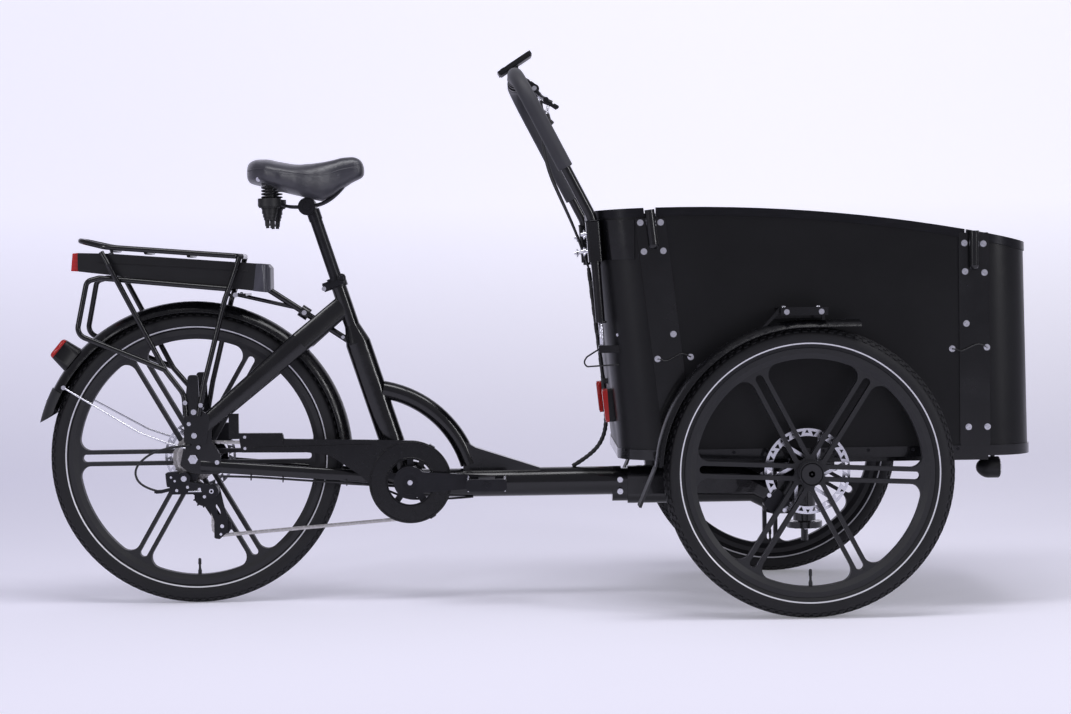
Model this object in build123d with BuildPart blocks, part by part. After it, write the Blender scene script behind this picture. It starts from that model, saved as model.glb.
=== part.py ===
"""Front-loading cargo tricycle: one driven rear wheel, and a cargo box that steers on a kingpin.

Frame: +X forward, +Y to the rider's left, +Z up, origin on the floor at the middle of the footprint.
Points of the rear frame are given from the rear axle, points of the steered unit from the front axle.
"""
from build123d import *
from math import asin, atan2, cos, degrees, hypot, pi, radians, sin, sqrt, tan
import os

os.makedirs("parts", exist_ok=True)

# ---------------------------------------------------------------- driving dimensions (mm)
wheelbase = 1321.0
rear_overhang = 351.0
front_overhang = 495.0
rear_tyre_radius = 326.5
front_tyre_radius = 303.5
half_track = 400.0

rear_tyre_width = 47.0
front_tyre_width = 50.0
rear_bead_radius = 279.5
front_bead_radius = 253.5
tyre_wall = 4.0
rim_width = 34.0
rim_depth = 13.0

boom_diameter = 64.0
boom_height = 259.0
seat_tube_diameter = 34.0
seat_tube_lower_length = 56.0
seat_tube_lower_width = 42.0
top_tube_diameter = 40.0
bottom_bracket_forward = 477.0
bottom_bracket_height = 267.0
bottom_bracket_width = 68.0
crank_length = 170.0
chainring_teeth = 40
cassette_teeth = 18
chain_pitch = 12.7
chain_line = 47.0
kingpin_ahead = 36.0
kingpin_diameter = 30.0

box_half_width = 305.0
box_wall = 12.0
box_top = 861.0
box_bottom = 334.0
box_back_top = -441.0
box_front = front_overhang - 3.0
box_corner_radius = 100.0
box_top_arc = 3350.0
floor_thickness = 12.0

bar_diameter = 22.2
bar_half_width = 262.0
bar_top_height = 1152.0
grip_diameter = 33.0

pin_gap = 0.3
moving_gap = 5.0

# ---------------------------------------------------------------- places worked out from them
rear_x = (rear_overhang - wheelbase - front_overhang) / 2
front_x = rear_x + wheelbase
rear_z = rear_tyre_radius
front_z = front_tyre_radius
kingpin_x = front_x + kingpin_ahead
crank_x = rear_x + bottom_bracket_forward
crank_z = bottom_bracket_height
chainring_radius = chain_pitch / (2 * sin(pi / chainring_teeth))
cassette_radius = chain_pitch / (2 * sin(pi / cassette_teeth))


def across(x, y, z):
    """A plane that faces -Y, with its X along +X and its Y up: what is extruded from it goes to the right."""
    return Plane(origin=(x, y, z), x_dir=(1, 0, 0), z_dir=(0, -1, 0))


def rod(start, end, diameter):
    """A plain round bar from one point to another."""
    run = Vector(*end) - Vector(*start)
    with BuildPart() as bar:
        with BuildSketch(Plane(origin=start, z_dir=run)):
            Circle(diameter / 2)
        extrude(amount=run.length)
    return bar.part


def bent_tube(points, radii, diameter, bore=0.0):
    """A bent tube along straight runs with rounded corners; its inside is empty when it has a bore."""
    with BuildPart() as tube:
        with BuildLine() as path:
            FilletPolyline(*points, radius=radii)
        with BuildSketch(path.line ^ 0):
            Circle(diameter / 2)
            if bore:
                Circle(bore / 2, mode=Mode.SUBTRACT)
        sweep(path=path.line)
    return tube.part


def both_sides(right_part):
    """A right-hand piece with its mirror image on the left, as one part."""
    return Part() + [right_part, right_part.mirror(Plane.XZ)]


def largest(part):
    """The biggest solid of a part, without the offcuts a cut leaves on its far side."""
    return Part() + part.solids().sort_by(SortBy.VOLUME)[-1]


def save(part, name):
    part.label = name
    export_step(part, f"parts/{name}.step")


# ---------------------------------------------------------------- main frame
# A round boom carries the bottom bracket at its rear end and a square clamp sleeve at its front end. The
# seat tube is a slender round tube that swells into a deep oval foot, and a curved step-through tube with a
# folded gusset braces it against the boom. The sleeve drops ahead of its clamp to pass under the front axle.
seat_foot = (rear_x + 463, crank_z)
seat_top = (rear_x + 316, 721.0)
seat_lean = degrees(atan2(seat_foot[0] - seat_top[0], seat_top[1] - seat_foot[1]))
seat_length = hypot(seat_foot[0] - seat_top[0], seat_top[1] - seat_foot[1])
seat_axis = Vector(-sin(radians(seat_lean)), 0, cos(radians(seat_lean)))
seat_foot_length = 0.68 * seat_length
seat_taper_length = 42.0
seat_plane = Plane(origin=(seat_foot[0], 0, seat_foot[1]), x_dir=(0, 1, 0), z_dir=seat_axis)
sleeve_height = 83.0
sleeve_width = 66.0
sleeve_corner = 22.0
collar_length = 34.0
collar_inset = 5.0
sleeve_top = boom_height + boom_diameter / 2
sleeve_start = front_x - 395
sleeve_drop = 29.0
head_tube_diameter = 50.0
head_tube_bottom = 163.0
head_tube_top = sleeve_top - sleeve_drop + 8


with BuildPart() as sleeve:
    with BuildSketch(Plane.XZ):
        Polygon(
            (sleeve_start + collar_length, sleeve_top - sleeve_height),
            (sleeve_start + collar_length, sleeve_top), (front_x - 106, sleeve_top),
            (front_x - 50, sleeve_top - sleeve_drop),
            (kingpin_x, sleeve_top - sleeve_drop), (kingpin_x, sleeve_top - sleeve_height - sleeve_drop),
            (front_x - 30, sleeve_top - sleeve_height - sleeve_drop),
            (front_x - 86, sleeve_top - sleeve_height), align=None,
        )
    extrude(amount=sleeve_width / 2, both=True)
    fillet(sleeve.faces().filter_by(Plane.XZ).edges().filter_by(Axis.Z, reverse=True), sleeve_corner)
    with BuildSketch(Plane.YZ.offset(sleeve_start)):
        with Locations((0, sleeve_top - sleeve_height / 2)):
            RectangleRounded(sleeve_width - 2 * collar_inset, sleeve_height - 2 * collar_inset, sleeve_corner)
    extrude(amount=collar_length)

with BuildPart() as main_frame:
    # boom
    with BuildSketch(Plane.YZ.offset(crank_x - 12)):
        with Locations((0, boom_height)):
            Circle(boom_diameter / 2)
    extrude(amount=sleeve_start + 20 - crank_x + 12)
    # bottom bracket shell
    with BuildSketch(across(crank_x, bottom_bracket_width / 2, crank_z)):
        Circle(23)
    extrude(amount=bottom_bracket_width)
    # seat tube: oval foot, taper, round top
    with BuildSketch(seat_plane):
        Ellipse(seat_tube_lower_width / 2, seat_tube_lower_length / 2)
    extrude(amount=seat_foot_length)
    with BuildSketch(seat_plane.offset(seat_foot_length)):
        Ellipse(seat_tube_lower_width / 2, seat_tube_lower_length / 2)
    with BuildSketch(seat_plane.offset(seat_foot_length + seat_taper_length)):
        Circle(seat_tube_diameter / 2)
    loft()
    with BuildSketch(seat_plane.offset(seat_foot_length + seat_taper_length)):
        Circle(seat_tube_diameter / 2)
    extrude(amount=seat_length - seat_foot_length - seat_taper_length)
    # curved step-through tube
    with BuildLine() as step_line:
        ThreePointArc(
            (rear_x + 418, 0, 470), (rear_x + 532, 0, 416), (rear_x + 607, 0, 300)
        )
    with BuildSketch(step_line.line ^ 0):
        Circle(top_tube_diameter / 2)
    sweep(path=step_line.line)
    # gusset
    with BuildSketch(Plane.XZ):
        Polygon(
            (rear_x + 590, boom_height), (rear_x + 600, 352), (rear_x + 622, 338), (rear_x + 765, sleeve_top),
            (rear_x + 765, boom_height), align=None,
        )
    extrude(amount=17, both=True)
    # sleeve with its dropped nose
    add(sleeve.part)
    # head tube
    with Locations((kingpin_x, 0, head_tube_bottom)):
        Cylinder(head_tube_diameter / 2, head_tube_top - head_tube_bottom,
                 align=(Align.CENTER, Align.CENTER, Align.MIN))
        Cylinder(kingpin_diameter / 2 + pin_gap, 400, mode=Mode.SUBTRACT)
    # bores: crank axle and seat post
    with BuildSketch(across(crank_x, 60, crank_z)):
        Circle(9)
    extrude(amount=120, mode=Mode.SUBTRACT)
    with BuildSketch(seat_plane.offset(seat_length)):
        Circle(13.6)
    extrude(amount=-200, mode=Mode.SUBTRACT)
save(main_frame.part, "main_frame")

# ---------------------------------------------------------------- rear stays
# Two fat tapered upper stays and two chain stays run from the seat tube and the bottom bracket to the
# dropout plates, spread wide enough to pass the tyre and its mudguard.
dropout_gap = 135.0
dropout_thickness = 6.0
dropout_y = dropout_gap / 2
stay_stations = [
    ((332, -8, 660), 46, 15), ((238, -50, 581), 48, 20), ((22, -71, 400), 35, 14),
]
chain_stay_stations = [
    ((16, -71, 311), 26, 14), ((290, -46, 287), 27, 16), ((350, -33, 282), 27, 16), ((448, -28, 271), 27, 16),
]
with BuildPart() as upper_stay:
    for (x, y, z), height, width in stay_stations:
        with BuildSketch(Plane(origin=(rear_x + x, y, z), x_dir=(0, 1, 0), z_dir=(0.76, 0, 0.65))):
            Ellipse(width / 2, height / 2)
    loft(ruled=True)
    add(main_frame.part, mode=Mode.SUBTRACT)
upper_stays = both_sides(largest(upper_stay.part))
with BuildPart() as chain_stay:
    for (x, y, z), height, width in chain_stay_stations:
        with BuildSketch(Plane(origin=(rear_x + x, y, z), x_dir=(0, 1, 0), z_dir=(1, 0, 0))):
            Ellipse(width / 2, height / 2)
    loft(ruled=True)
    add(main_frame.part, mode=Mode.SUBTRACT)
chain_stays = both_sides(largest(chain_stay.part))
with BuildPart() as dropout:
    with BuildSketch(across(rear_x, -dropout_y, rear_z)) as plate:
        with BuildLine():
            Polyline((-30, -14), (-22, 22), (8, 100), (44, 100), (40, 40), (60, 8), (60, -34), (20, -34),
                     (-10, -30), close=True)
        make_face()
        fillet(plate.vertices(), 7)
        Circle(6 + pin_gap, mode=Mode.SUBTRACT)
    extrude(amount=dropout_thickness)
    add(upper_stay.part, mode=Mode.SUBTRACT)
    add(chain_stay.part, mode=Mode.SUBTRACT)
# Plates on the outside of the dropouts that take the feet of the rack's legs.
bracket_thickness = 5.0
with BuildPart() as rear_bracket:
    with BuildSketch(across(rear_x, -dropout_y - dropout_thickness, rear_z)) as plate:
        with BuildLine():
            Polyline((-20, 34), (-18, 110), (-8, 186), (14, 186), (16, 110), (38, 96), (30, 34), close=True)
        make_face()
        fillet(plate.vertices(), 7)
        with Locations((3, 104), (3, 52)):
            Circle(4, mode=Mode.SUBTRACT)
    extrude(amount=bracket_thickness)
    for stay in (upper_stay, chain_stay, dropout):
        add(stay.part, mode=Mode.SUBTRACT)
save(upper_stays + chain_stays, "rear_stays")
save(both_sides(dropout.part) + both_sides(largest(rear_bracket.part)), "dropouts")


# ---------------------------------------------------------------- cast wheels
# Each wheel is one casting: a channelled rim, six double spokes and a hub. A double spoke is two slim bars
# with a long slot between them that is round at its rim end, and each window between spokes has large
# fillets where the bars run into the rim.
spoke_pairs = 6
spoke_bar = 9.0
spoke_slot = 17.0
spoke_depth = 20.0


def rim_outline(bead_radius):
    """Half section of the rim, with its bead hooks, in (across, radius)."""
    half = rim_width / 2
    inner = bead_radius - rim_depth - 3
    return [
        (-half, bead_radius + 6), (-half + 3, bead_radius + 6), (-half + 3, bead_radius),
        (-6, bead_radius - 8), (6, bead_radius - 8), (half - 3, bead_radius), (half - 3, bead_radius + 6),
        (half, bead_radius + 6), (half, bead_radius - 5), (half - 7, inner), (-half + 7, inner),
        (-half, bead_radius - 5),
    ]


def cast_wheel(x, y, z, bead_radius, hub_radius, hub_from, hub_to, bore, turn):
    """One cast wheel; the hub reaches from hub_from to hub_to along Y, measured from the wheel's middle."""
    inner = bead_radius - rim_depth - 3
    core = hub_radius + 12
    half_pair = spoke_bar + spoke_slot / 2
    centre = across(x, y, z)
    with BuildPart() as wheel:
        with BuildSketch(Plane(origin=(x, y, z), x_dir=(0, 1, 0), z_dir=(1, 0, 0))):
            Polygon(*rim_outline(bead_radius), align=None)
        revolve(axis=Axis((x, y, z), (0, 1, 0)))
        with BuildSketch(centre.offset(-spoke_depth / 2)):
            Circle(inner + 3)
            with PolarLocations(0, spoke_pairs, start_angle=turn):
                with BuildSketch(mode=Mode.PRIVATE) as window:
                    with BuildLine():
                        step = 360 / spoke_pairs
                        low_in = (sqrt(core**2 - half_pair**2), half_pair)
                        low_out = (sqrt(inner**2 - half_pair**2), half_pair)
                        high_in = Vector(low_in[0], -low_in[1]).rotate(Axis.Z, step)
                        high_out = Vector(low_out[0], -low_out[1]).rotate(Axis.Z, step)
                        mid_in = Vector(core, 0).rotate(Axis.Z, step / 2)
                        mid_out = Vector(inner, 0).rotate(Axis.Z, step / 2)
                        Line(low_in, low_out)
                        ThreePointArc(low_out, mid_out, high_out)
                        Line(high_out, high_in)
                        ThreePointArc(high_in, mid_in, low_in)
                    make_face()
                    outer_corners = window.vertices().sort_by(SortBy.DISTANCE)[2:]
                    fillet(outer_corners, 24)
                add(window.sketch, mode=Mode.SUBTRACT)
                with BuildSketch(mode=Mode.PRIVATE) as slot:
                    with Locations(((inner - 8 - spoke_slot / 2 + core) / 2, 0)):
                        SlotCenterToCenter(inner - 8 - spoke_slot / 2 - core, spoke_slot)
                add(slot.sketch, mode=Mode.SUBTRACT)
        extrude(amount=spoke_depth)
        with BuildSketch(centre.offset(-hub_to)):
            Circle(hub_radius)
        extrude(amount=hub_to - hub_from)
        with BuildSketch(centre.offset(-hub_to - 1)):
            Circle(bore / 2)
        extrude(amount=hub_to - hub_from + 2, mode=Mode.SUBTRACT)
    return wheel.part


def tyre(x, y, z, radius, width, bead_radius):
    """A hollow tyre seated between the rim's hooks and open towards the rim bed."""
    middle = radius - width / 2
    with BuildPart() as cover:
        with BuildSketch(Plane(origin=(x, y, z), x_dir=(0, 1, 0), z_dir=(1, 0, 0))):
            with Locations((0, middle)):
                Circle(width / 2)
                Circle(width / 2 - tyre_wall, mode=Mode.SUBTRACT)
            with Locations((0, bead_radius)):
                Rectangle(rim_width - 18, width, mode=Mode.SUBTRACT)
            with Locations((0, bead_radius - width / 2)):
                Rectangle(2 * width, width, mode=Mode.SUBTRACT)
            Polygon(*rim_outline(bead_radius), align=None, mode=Mode.SUBTRACT)
        revolve(axis=Axis((x, y, z), (0, 1, 0)))
    return cover.part


def brake_disc(x, y, z, radius, bore, thickness, arms):
    """A brake disc: a ring pierced with triangles on slanting arms, from its left face at y."""
    ring = 16.0
    with BuildPart() as disc:
        with BuildSketch(across(x, y, z)):
            Circle(radius)
            Circle(radius - ring, mode=Mode.SUBTRACT)
            Circle(bore + 11)
            with PolarLocations((radius + bore) / 2 - 2, arms):
                Rectangle(radius - bore - 18, 7, rotation=28)
            with PolarLocations(radius - ring / 2 - 1, 3 * arms):
                RegularPolygon(6.5, 3, rotation=180, mode=Mode.SUBTRACT)
            with PolarLocations(radius - ring / 2 + 1, 3 * arms, start_angle=60 / arms):
                RegularPolygon(5, 3, mode=Mode.SUBTRACT)
            Circle(bore, mode=Mode.SUBTRACT)
        extrude(amount=thickness)
    return disc.part


# ---------------------------------------------------------------- rear wheel
axle_diameter = 12.0
rear_hub_radius = 24.0
rear_hub_right = -34.0
rear_hub_left = 50.0
rear_hub_end = dropout_y - moving_gap
rear_disc_radius = 80.0
disc_thickness = 2.0
disc_seat_radius = 12.0
axle_bore = axle_diameter + 2 * pin_gap

with BuildPart() as rear_wheel:
    add(cast_wheel(rear_x, 0, rear_z, rear_bead_radius, rear_hub_radius, rear_hub_right, rear_hub_left,
                   axle_bore, 0))
    with BuildSketch(across(rear_x, rear_hub_end, rear_z)):
        Circle(disc_seat_radius)
        Circle(axle_bore / 2, mode=Mode.SUBTRACT)
    extrude(amount=rear_hub_end - rear_hub_left)
save(rear_wheel.part, "rear_wheel")
save(tyre(rear_x, 0, rear_z, rear_tyre_radius, rear_tyre_width, rear_bead_radius), "rear_tyre")
save(brake_disc(rear_x, rear_hub_left + disc_thickness, rear_z, rear_disc_radius, disc_seat_radius,
                disc_thickness, 6), "rear_brake_disc")

# Sprocket block on the hub's right end; the chain runs on its middle ring.
ring_spacing = 4.8
ring_thickness = 1.8
with BuildPart() as sprockets:
    with BuildSketch(across(rear_x, rear_hub_right, rear_z)):
        Circle(17)
    extrude(amount=rear_hub_end + rear_hub_right)
    for place, teeth in enumerate([cassette_teeth + 6, cassette_teeth + 3, cassette_teeth,
                                   cassette_teeth - 2, cassette_teeth - 4]):
        ring_y = -chain_line + (2 - place) * ring_spacing + ring_thickness / 2
        with BuildSketch(across(rear_x, ring_y, rear_z)):
            Circle(chain_pitch / (2 * sin(pi / teeth)) + 1.2)
        extrude(amount=ring_thickness)
    with BuildSketch(across(rear_x, 0, rear_z)):
        Circle(axle_bore / 2)
    extrude(amount=100, mode=Mode.SUBTRACT)
save(sprockets.part, "sprockets")

# Axle clamped between the dropouts by a nut on each side.
nut_thickness = 10.0
with BuildPart() as rear_axle:
    with BuildSketch(across(rear_x, dropout_y + dropout_thickness + nut_thickness + 3, rear_z)):
        Circle(axle_diameter / 2)
    extrude(amount=2 * (dropout_y + dropout_thickness + nut_thickness + 3))
    for side in (-1, 1):
        with BuildSketch(across(rear_x, side * (dropout_y + dropout_thickness + nut_thickness / 2), rear_z)):
            RegularPolygon(11, 6)
        extrude(amount=nut_thickness / 2, both=True)
save(rear_axle.part, "rear_axle")

with BuildPart() as rear_brake_caliper:
    with BuildSketch(across(rear_x + 52, dropout_y, rear_z + 52)):
        RectangleRounded(44, 40, 8)
    extrude(amount=dropout_y - rear_hub_left + 10)
    with BuildSketch(across(rear_x, rear_hub_left + disc_thickness + 2, rear_z)):
        Circle(rear_disc_radius + moving_gap)
    extrude(amount=disc_thickness + 4, mode=Mode.SUBTRACT)
    add(both_sides(dropout.part), mode=Mode.SUBTRACT)
    add(upper_stays, mode=Mode.SUBTRACT)
save(rear_brake_caliper.part, "rear_brake_caliper")

# ---------------------------------------------------------------- crankset and pedals
crank_thickness = 13.0
crank_root = 25.0
crank_tip = 13.0
crank_boss = 36.0
crank_face = 62.5
pedal_from = crank_face + crank_thickness + moving_gap
pedal_length = 95.0
spindle_diameter = 10.0
with BuildPart() as crankset:
    with BuildSketch(across(crank_x, crank_face, crank_z)):
        Circle(9 - pin_gap)
    extrude(amount=2 * crank_face)
    for side in (-1, 1):
        start = side * crank_face
        with BuildSketch(across(crank_x, start, crank_z)):
            with BuildLine():
                Line((0, crank_root), (-side * crank_length, crank_tip))
                Line((-side * crank_length, -crank_tip), (0, -crank_root))
                ThreePointArc((-side * crank_length, crank_tip), (-side * (crank_length + crank_tip), 0),
                              (-side * crank_length, -crank_tip))
                ThreePointArc((0, crank_root), (side * crank_root, 0), (0, -crank_root))
            make_face()
            Circle(crank_boss)
        extrude(amount=-side * crank_thickness)
        spindle = side * (pedal_from + pedal_length)
        with BuildSketch(across(crank_x - side * crank_length, start, crank_z)):
            Circle(spindle_diameter / 2)
        extrude(amount=start - spindle)
save(crankset.part, "crankset")

with BuildPart() as chainring:
    with BuildSketch(across(crank_x, -chain_line + 1.2, crank_z)):
        Circle(chainring_radius + 1.2)
        with BuildSketch(mode=Mode.PRIVATE) as windows:
            Circle(chainring_radius - 14)
            Circle(crank_boss + 1, mode=Mode.SUBTRACT)
            with PolarLocations(chainring_radius / 2 + 8, 5, start_angle=18):
                Rectangle(60, 14, mode=Mode.SUBTRACT)
        add(windows.sketch, mode=Mode.SUBTRACT)
        Circle(9 - pin_gap, mode=Mode.SUBTRACT)
    extrude(amount=2.4)
    with BuildSketch(across(crank_x, -chain_line - 1.2, crank_z)):
        Circle(26)
        Circle(9 - pin_gap, mode=Mode.SUBTRACT)
    extrude(amount=crank_face - chain_line - 1.2)
save(chainring.part, "chainring")


def pedal(side):
    """A platform pedal: a bored barrel between two end bars and two tread bars."""
    x = crank_x - side * crank_length
    near = side * pedal_from
    with BuildPart() as body:
        with BuildSketch(across(x, near, crank_z)):
            RectangleRounded(88, 26, 8)
        extrude(amount=-side * pedal_length)
        with BuildSketch(Plane.XY.offset(crank_z)):
            with Locations((x - 27, side * (pedal_from + pedal_length / 2)),
                           (x + 27, side * (pedal_from + pedal_length / 2))):
                RectangleRounded(18, pedal_length - 26, 4)
        extrude(amount=20, both=True, mode=Mode.SUBTRACT)
        with BuildSketch(across(x, 0, crank_z)):
            Circle(spindle_diameter / 2 + pin_gap)
        extrude(amount=-side * 400, mode=Mode.SUBTRACT)
    return body.part


save(pedal(-1), "pedal_right")
save(pedal(1), "pedal_left")

# ---------------------------------------------------------------- chain, guard and derailleur
pulley_teeth = 10
pulley_radius = chain_pitch / (2 * sin(pi / pulley_teeth))
guide_pulley = (rear_x + 17, 240.0)
tension_pulley = (rear_x + 58, 175.0)
chain_half_height = 4.0
chain_width = 7.0


def chain_loop(grow):
    """The closed line of the chain, moved outwards by grow: straight runs between its wheels."""
    wheels = [
        ((crank_x, crank_z), chainring_radius, 1), ((rear_x, rear_z), cassette_radius, 1),
        (guide_pulley, pulley_radius, -1), (tension_pulley, pulley_radius, 1),
    ]
    count = len(wheels)
    starts, ends = [], []
    for i in range(count):
        (ax, az), ra, sa = wheels[i]
        (bx, bz), rb, sb = wheels[(i + 1) % count]
        ra, rb = ra * sa + grow, rb * sb + grow
        gap = hypot(bx - ax, bz - az)
        heading = atan2(bz - az, bx - ax) - asin((rb - ra) / gap)
        normal = (-sin(heading), cos(heading))
        starts.append((ax - ra * normal[0], az - ra * normal[1]))
        ends.append((bx - rb * normal[0], bz - rb * normal[1]))
    for i in range(count):
        Line(starts[i], ends[i])
        (bx, bz), rb, sb = wheels[(i + 1) % count]
        rb = rb * sb + grow
        one = atan2(ends[i][1] - bz, ends[i][0] - bx)
        two = atan2(starts[(i + 1) % count][1] - bz, starts[(i + 1) % count][0] - bx)
        turn = (two - one) % (2 * pi) if rb > 0 else -((one - two) % (2 * pi))
        middle = one + turn / 2
        ThreePointArc(ends[i], (bx + abs(rb) * cos(middle), bz + abs(rb) * sin(middle)),
                      starts[(i + 1) % count])


with BuildPart() as chain:
    with BuildSketch(across(0, -chain_line + chain_width / 2, 0)):
        with BuildLine():
            chain_loop(chain_half_height)
        make_face()
        with BuildLine():
            chain_loop(-chain_half_height)
        make_face(mode=Mode.SUBTRACT)
    extrude(amount=chain_width)
    with BuildSketch(across(0, -chain_line + 1.7, 0)):
        with BuildLine():
            chain_loop(2.2)
        make_face()
        with BuildLine():
            chain_loop(-chain_half_height - 1)
        make_face(mode=Mode.SUBTRACT)
    extrude(amount=3.4, mode=Mode.SUBTRACT)
save(chain.part, "chain")

guard_radius = 92.0
guard_opening = 50.0
guard_face = 57.0
guard_wall = 2.5
guard_depth = 12.0
with BuildPart() as chain_guard:
    with BuildSketch(across(0, -guard_face + guard_depth, 0)) as guard_outline:
        with Locations((crank_x, crank_z)):
            Circle(guard_radius)
        Polygon(
            (rear_x + 104, 338), (rear_x + 98, 381), (rear_x + 195, 380), (rear_x + 199, 367),
            (rear_x + 389, 362), (crank_x, crank_z + guard_radius), (crank_x - 20, crank_z - 70),
            (rear_x + 365, 284), (rear_x + 299, 329), (rear_x + 250, 336), align=None,
        )
    extrude(amount=guard_depth)
    with BuildSketch(across(0, -guard_face + guard_depth, 0)):
        add(guard_outline.sketch)
        offset(amount=-guard_wall, mode=Mode.REPLACE)
    extrude(amount=guard_depth - guard_wall, mode=Mode.SUBTRACT)
    with BuildSketch(across(crank_x, 0, crank_z)):
        Circle(guard_opening)
    extrude(amount=guard_face + 1, mode=Mode.SUBTRACT)
    # the chain's way in and out through the rim
    with BuildSketch(across(0, -guard_face + guard_depth, 0)):
        with BuildLine():
            chain_loop(2 * chain_half_height)
        make_face()
        with BuildLine():
            chain_loop(-2 * chain_half_height)
        make_face(mode=Mode.SUBTRACT)
    extrude(amount=guard_depth - guard_wall, mode=Mode.SUBTRACT)
    # arms that hold it to the bottom bracket
    with BuildSketch(across(crank_x, -bottom_bracket_width / 2, crank_z)):
        Circle(21)
        for angle in (58, -58):
            with Locations(Rotation(0, 0, angle) * Pos(guard_radius / 2, 0)):
                Rectangle(guard_radius + 4, 14)
        Circle(11, mode=Mode.SUBTRACT)
    extrude(amount=2.5)
    with BuildSketch(across(crank_x, -bottom_bracket_width / 2, crank_z)):
        for angle in (58, -58):
            with Locations(Rotation(0, 0, angle) * Pos(guard_radius + 0.5, 0)):
                Rectangle(3, 14)
    extrude(amount=guard_face - bottom_bracket_width / 2)
    with BuildSketch(across(rear_x + 88, -guard_face + guard_wall + 9, 396)):
        Rectangle(22, 56)
    extrude(amount=9 + guard_wall)
    add(upper_stays, mode=Mode.SUBTRACT)
    add(both_sides(dropout.part), mode=Mode.SUBTRACT)
save(chain_guard.part, "chain_guard")

# Rear derailleur: hanger, cable block, slanting body and the cage with its two pulleys.
cage_middle = ((guide_pulley[0] + tension_pulley[0]) / 2, (guide_pulley[1] + tension_pulley[1]) / 2)
cage_thickness = 2.0
cage_gap = chain_width / 2 + 1
body_outer = dropout_y + 22
barrel_end = Vector(rear_x - 72, -86.5, 256.5)
with BuildPart() as derailleur:
    with BuildSketch(across(rear_x, -dropout_y, rear_z)):
        with BuildLine():
            Polyline((-12, -32), (12, -34), (4, -50), (-26, -52), close=True)
        make_face()
    extrude(amount=dropout_thickness)
    with BuildSketch(across(rear_x - 20, -dropout_y + 10, rear_z - 42)):
        Circle(14)
    extrude(amount=32)
    with BuildSketch(across(0, -body_outer + 24, 0)) as cable_block:
        Polygon((rear_x - 61, 298), (rear_x - 36, 300), (rear_x - 22, 272), (rear_x - 58, 266), align=None)
        fillet(cable_block.vertices(), 4)
    extrude(amount=24)
    with BuildSketch(across(0, -body_outer + 20, 0)) as link:
        Polygon((rear_x - 54, 274), (rear_x - 20, 280), (rear_x + 46, 268), (rear_x + 50, 250),
                (rear_x - 48, 250), align=None)
        fillet(link.vertices(), 5)
    extrude(amount=20)
    add(rod(barrel_end, (rear_x - 46, -86.5, 262), 8))
    with BuildSketch(across(rear_x + 40, -chain_line - cage_gap, 256)):
        Circle(15)
    extrude(amount=body_outer - chain_line - cage_gap - 2)
    with BuildSketch(across(0, -chain_line - cage_gap, 0)) as cage:
        Polygon((rear_x + 8, 232), (rear_x + 24, 262), (rear_x + 54, 264), (rear_x + 62, 226),
                (rear_x + 72, 186), (rear_x + 70, 162), (rear_x + 52, 146), (rear_x + 40, 148),
                (rear_x + 41, 186), (rear_x + 30, 216), align=None)
        fillet(cage.vertices(), 4)
        with Locations((rear_x + 50, 212)):
            SlotOverall(24, 7, rotation=102, mode=Mode.SUBTRACT)
    extrude(amount=cage_thickness + 0.5)
    with BuildSketch(across(0, -chain_line + cage_gap + cage_thickness, 0)):
        SlotCenterPoint(cage_middle, guide_pulley, 20)
    extrude(amount=cage_thickness)
    for pulley in (guide_pulley, tension_pulley):
        with BuildSketch(across(pulley[0], -chain_line + cage_gap, pulley[1])):
            Circle(5)
        extrude(amount=2 * cage_gap)
        with BuildSketch(across(pulley[0], -chain_line + 1.2, pulley[1])):
            Circle(pulley_radius - 0.5)
        extrude(amount=2.4)
    add(both_sides(dropout.part), mode=Mode.SUBTRACT)
save(derailleur.part - chain.part, "derailleur")

# ---------------------------------------------------------------- seat
post_diameter = 27.2
with BuildPart() as seat_post:
    with BuildSketch(seat_plane.offset(seat_length - 120)):
        Circle(post_diameter / 2)
        Circle(post_diameter / 2 - 2.5, mode=Mode.SUBTRACT)
    extrude(amount=280)
save(seat_post.part, "seat_post")

with BuildPart() as seat_clamp:
    with BuildSketch(seat_plane.offset(seat_length - 22)):
        Circle(seat_tube_diameter / 2 + 4)
        with Locations((0, 22)):
            Rectangle(22, 22)
        Circle(seat_tube_diameter / 2, mode=Mode.SUBTRACT)
    extrude(amount=20)
    with BuildSketch(seat_plane.offset(seat_length - 2)):
        Circle(seat_tube_diameter / 2 + 4)
        Circle(post_diameter / 2, mode=Mode.SUBTRACT)
    extrude(amount=4)
    with Locations(seat_plane.offset(seat_length - 12) * Pos(0, 27, 0) * Rotation(0, 90, 0)):
        Cylinder(4, 56)
    with Locations(seat_plane.offset(seat_length - 12) * Pos(-28, 8, 0)):
        Box(6, 48, 12)
    add(main_frame.part, mode=Mode.SUBTRACT)
    add(seat_post.part, mode=Mode.SUBTRACT)
save(seat_clamp.part, "seat_clamp")

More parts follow.
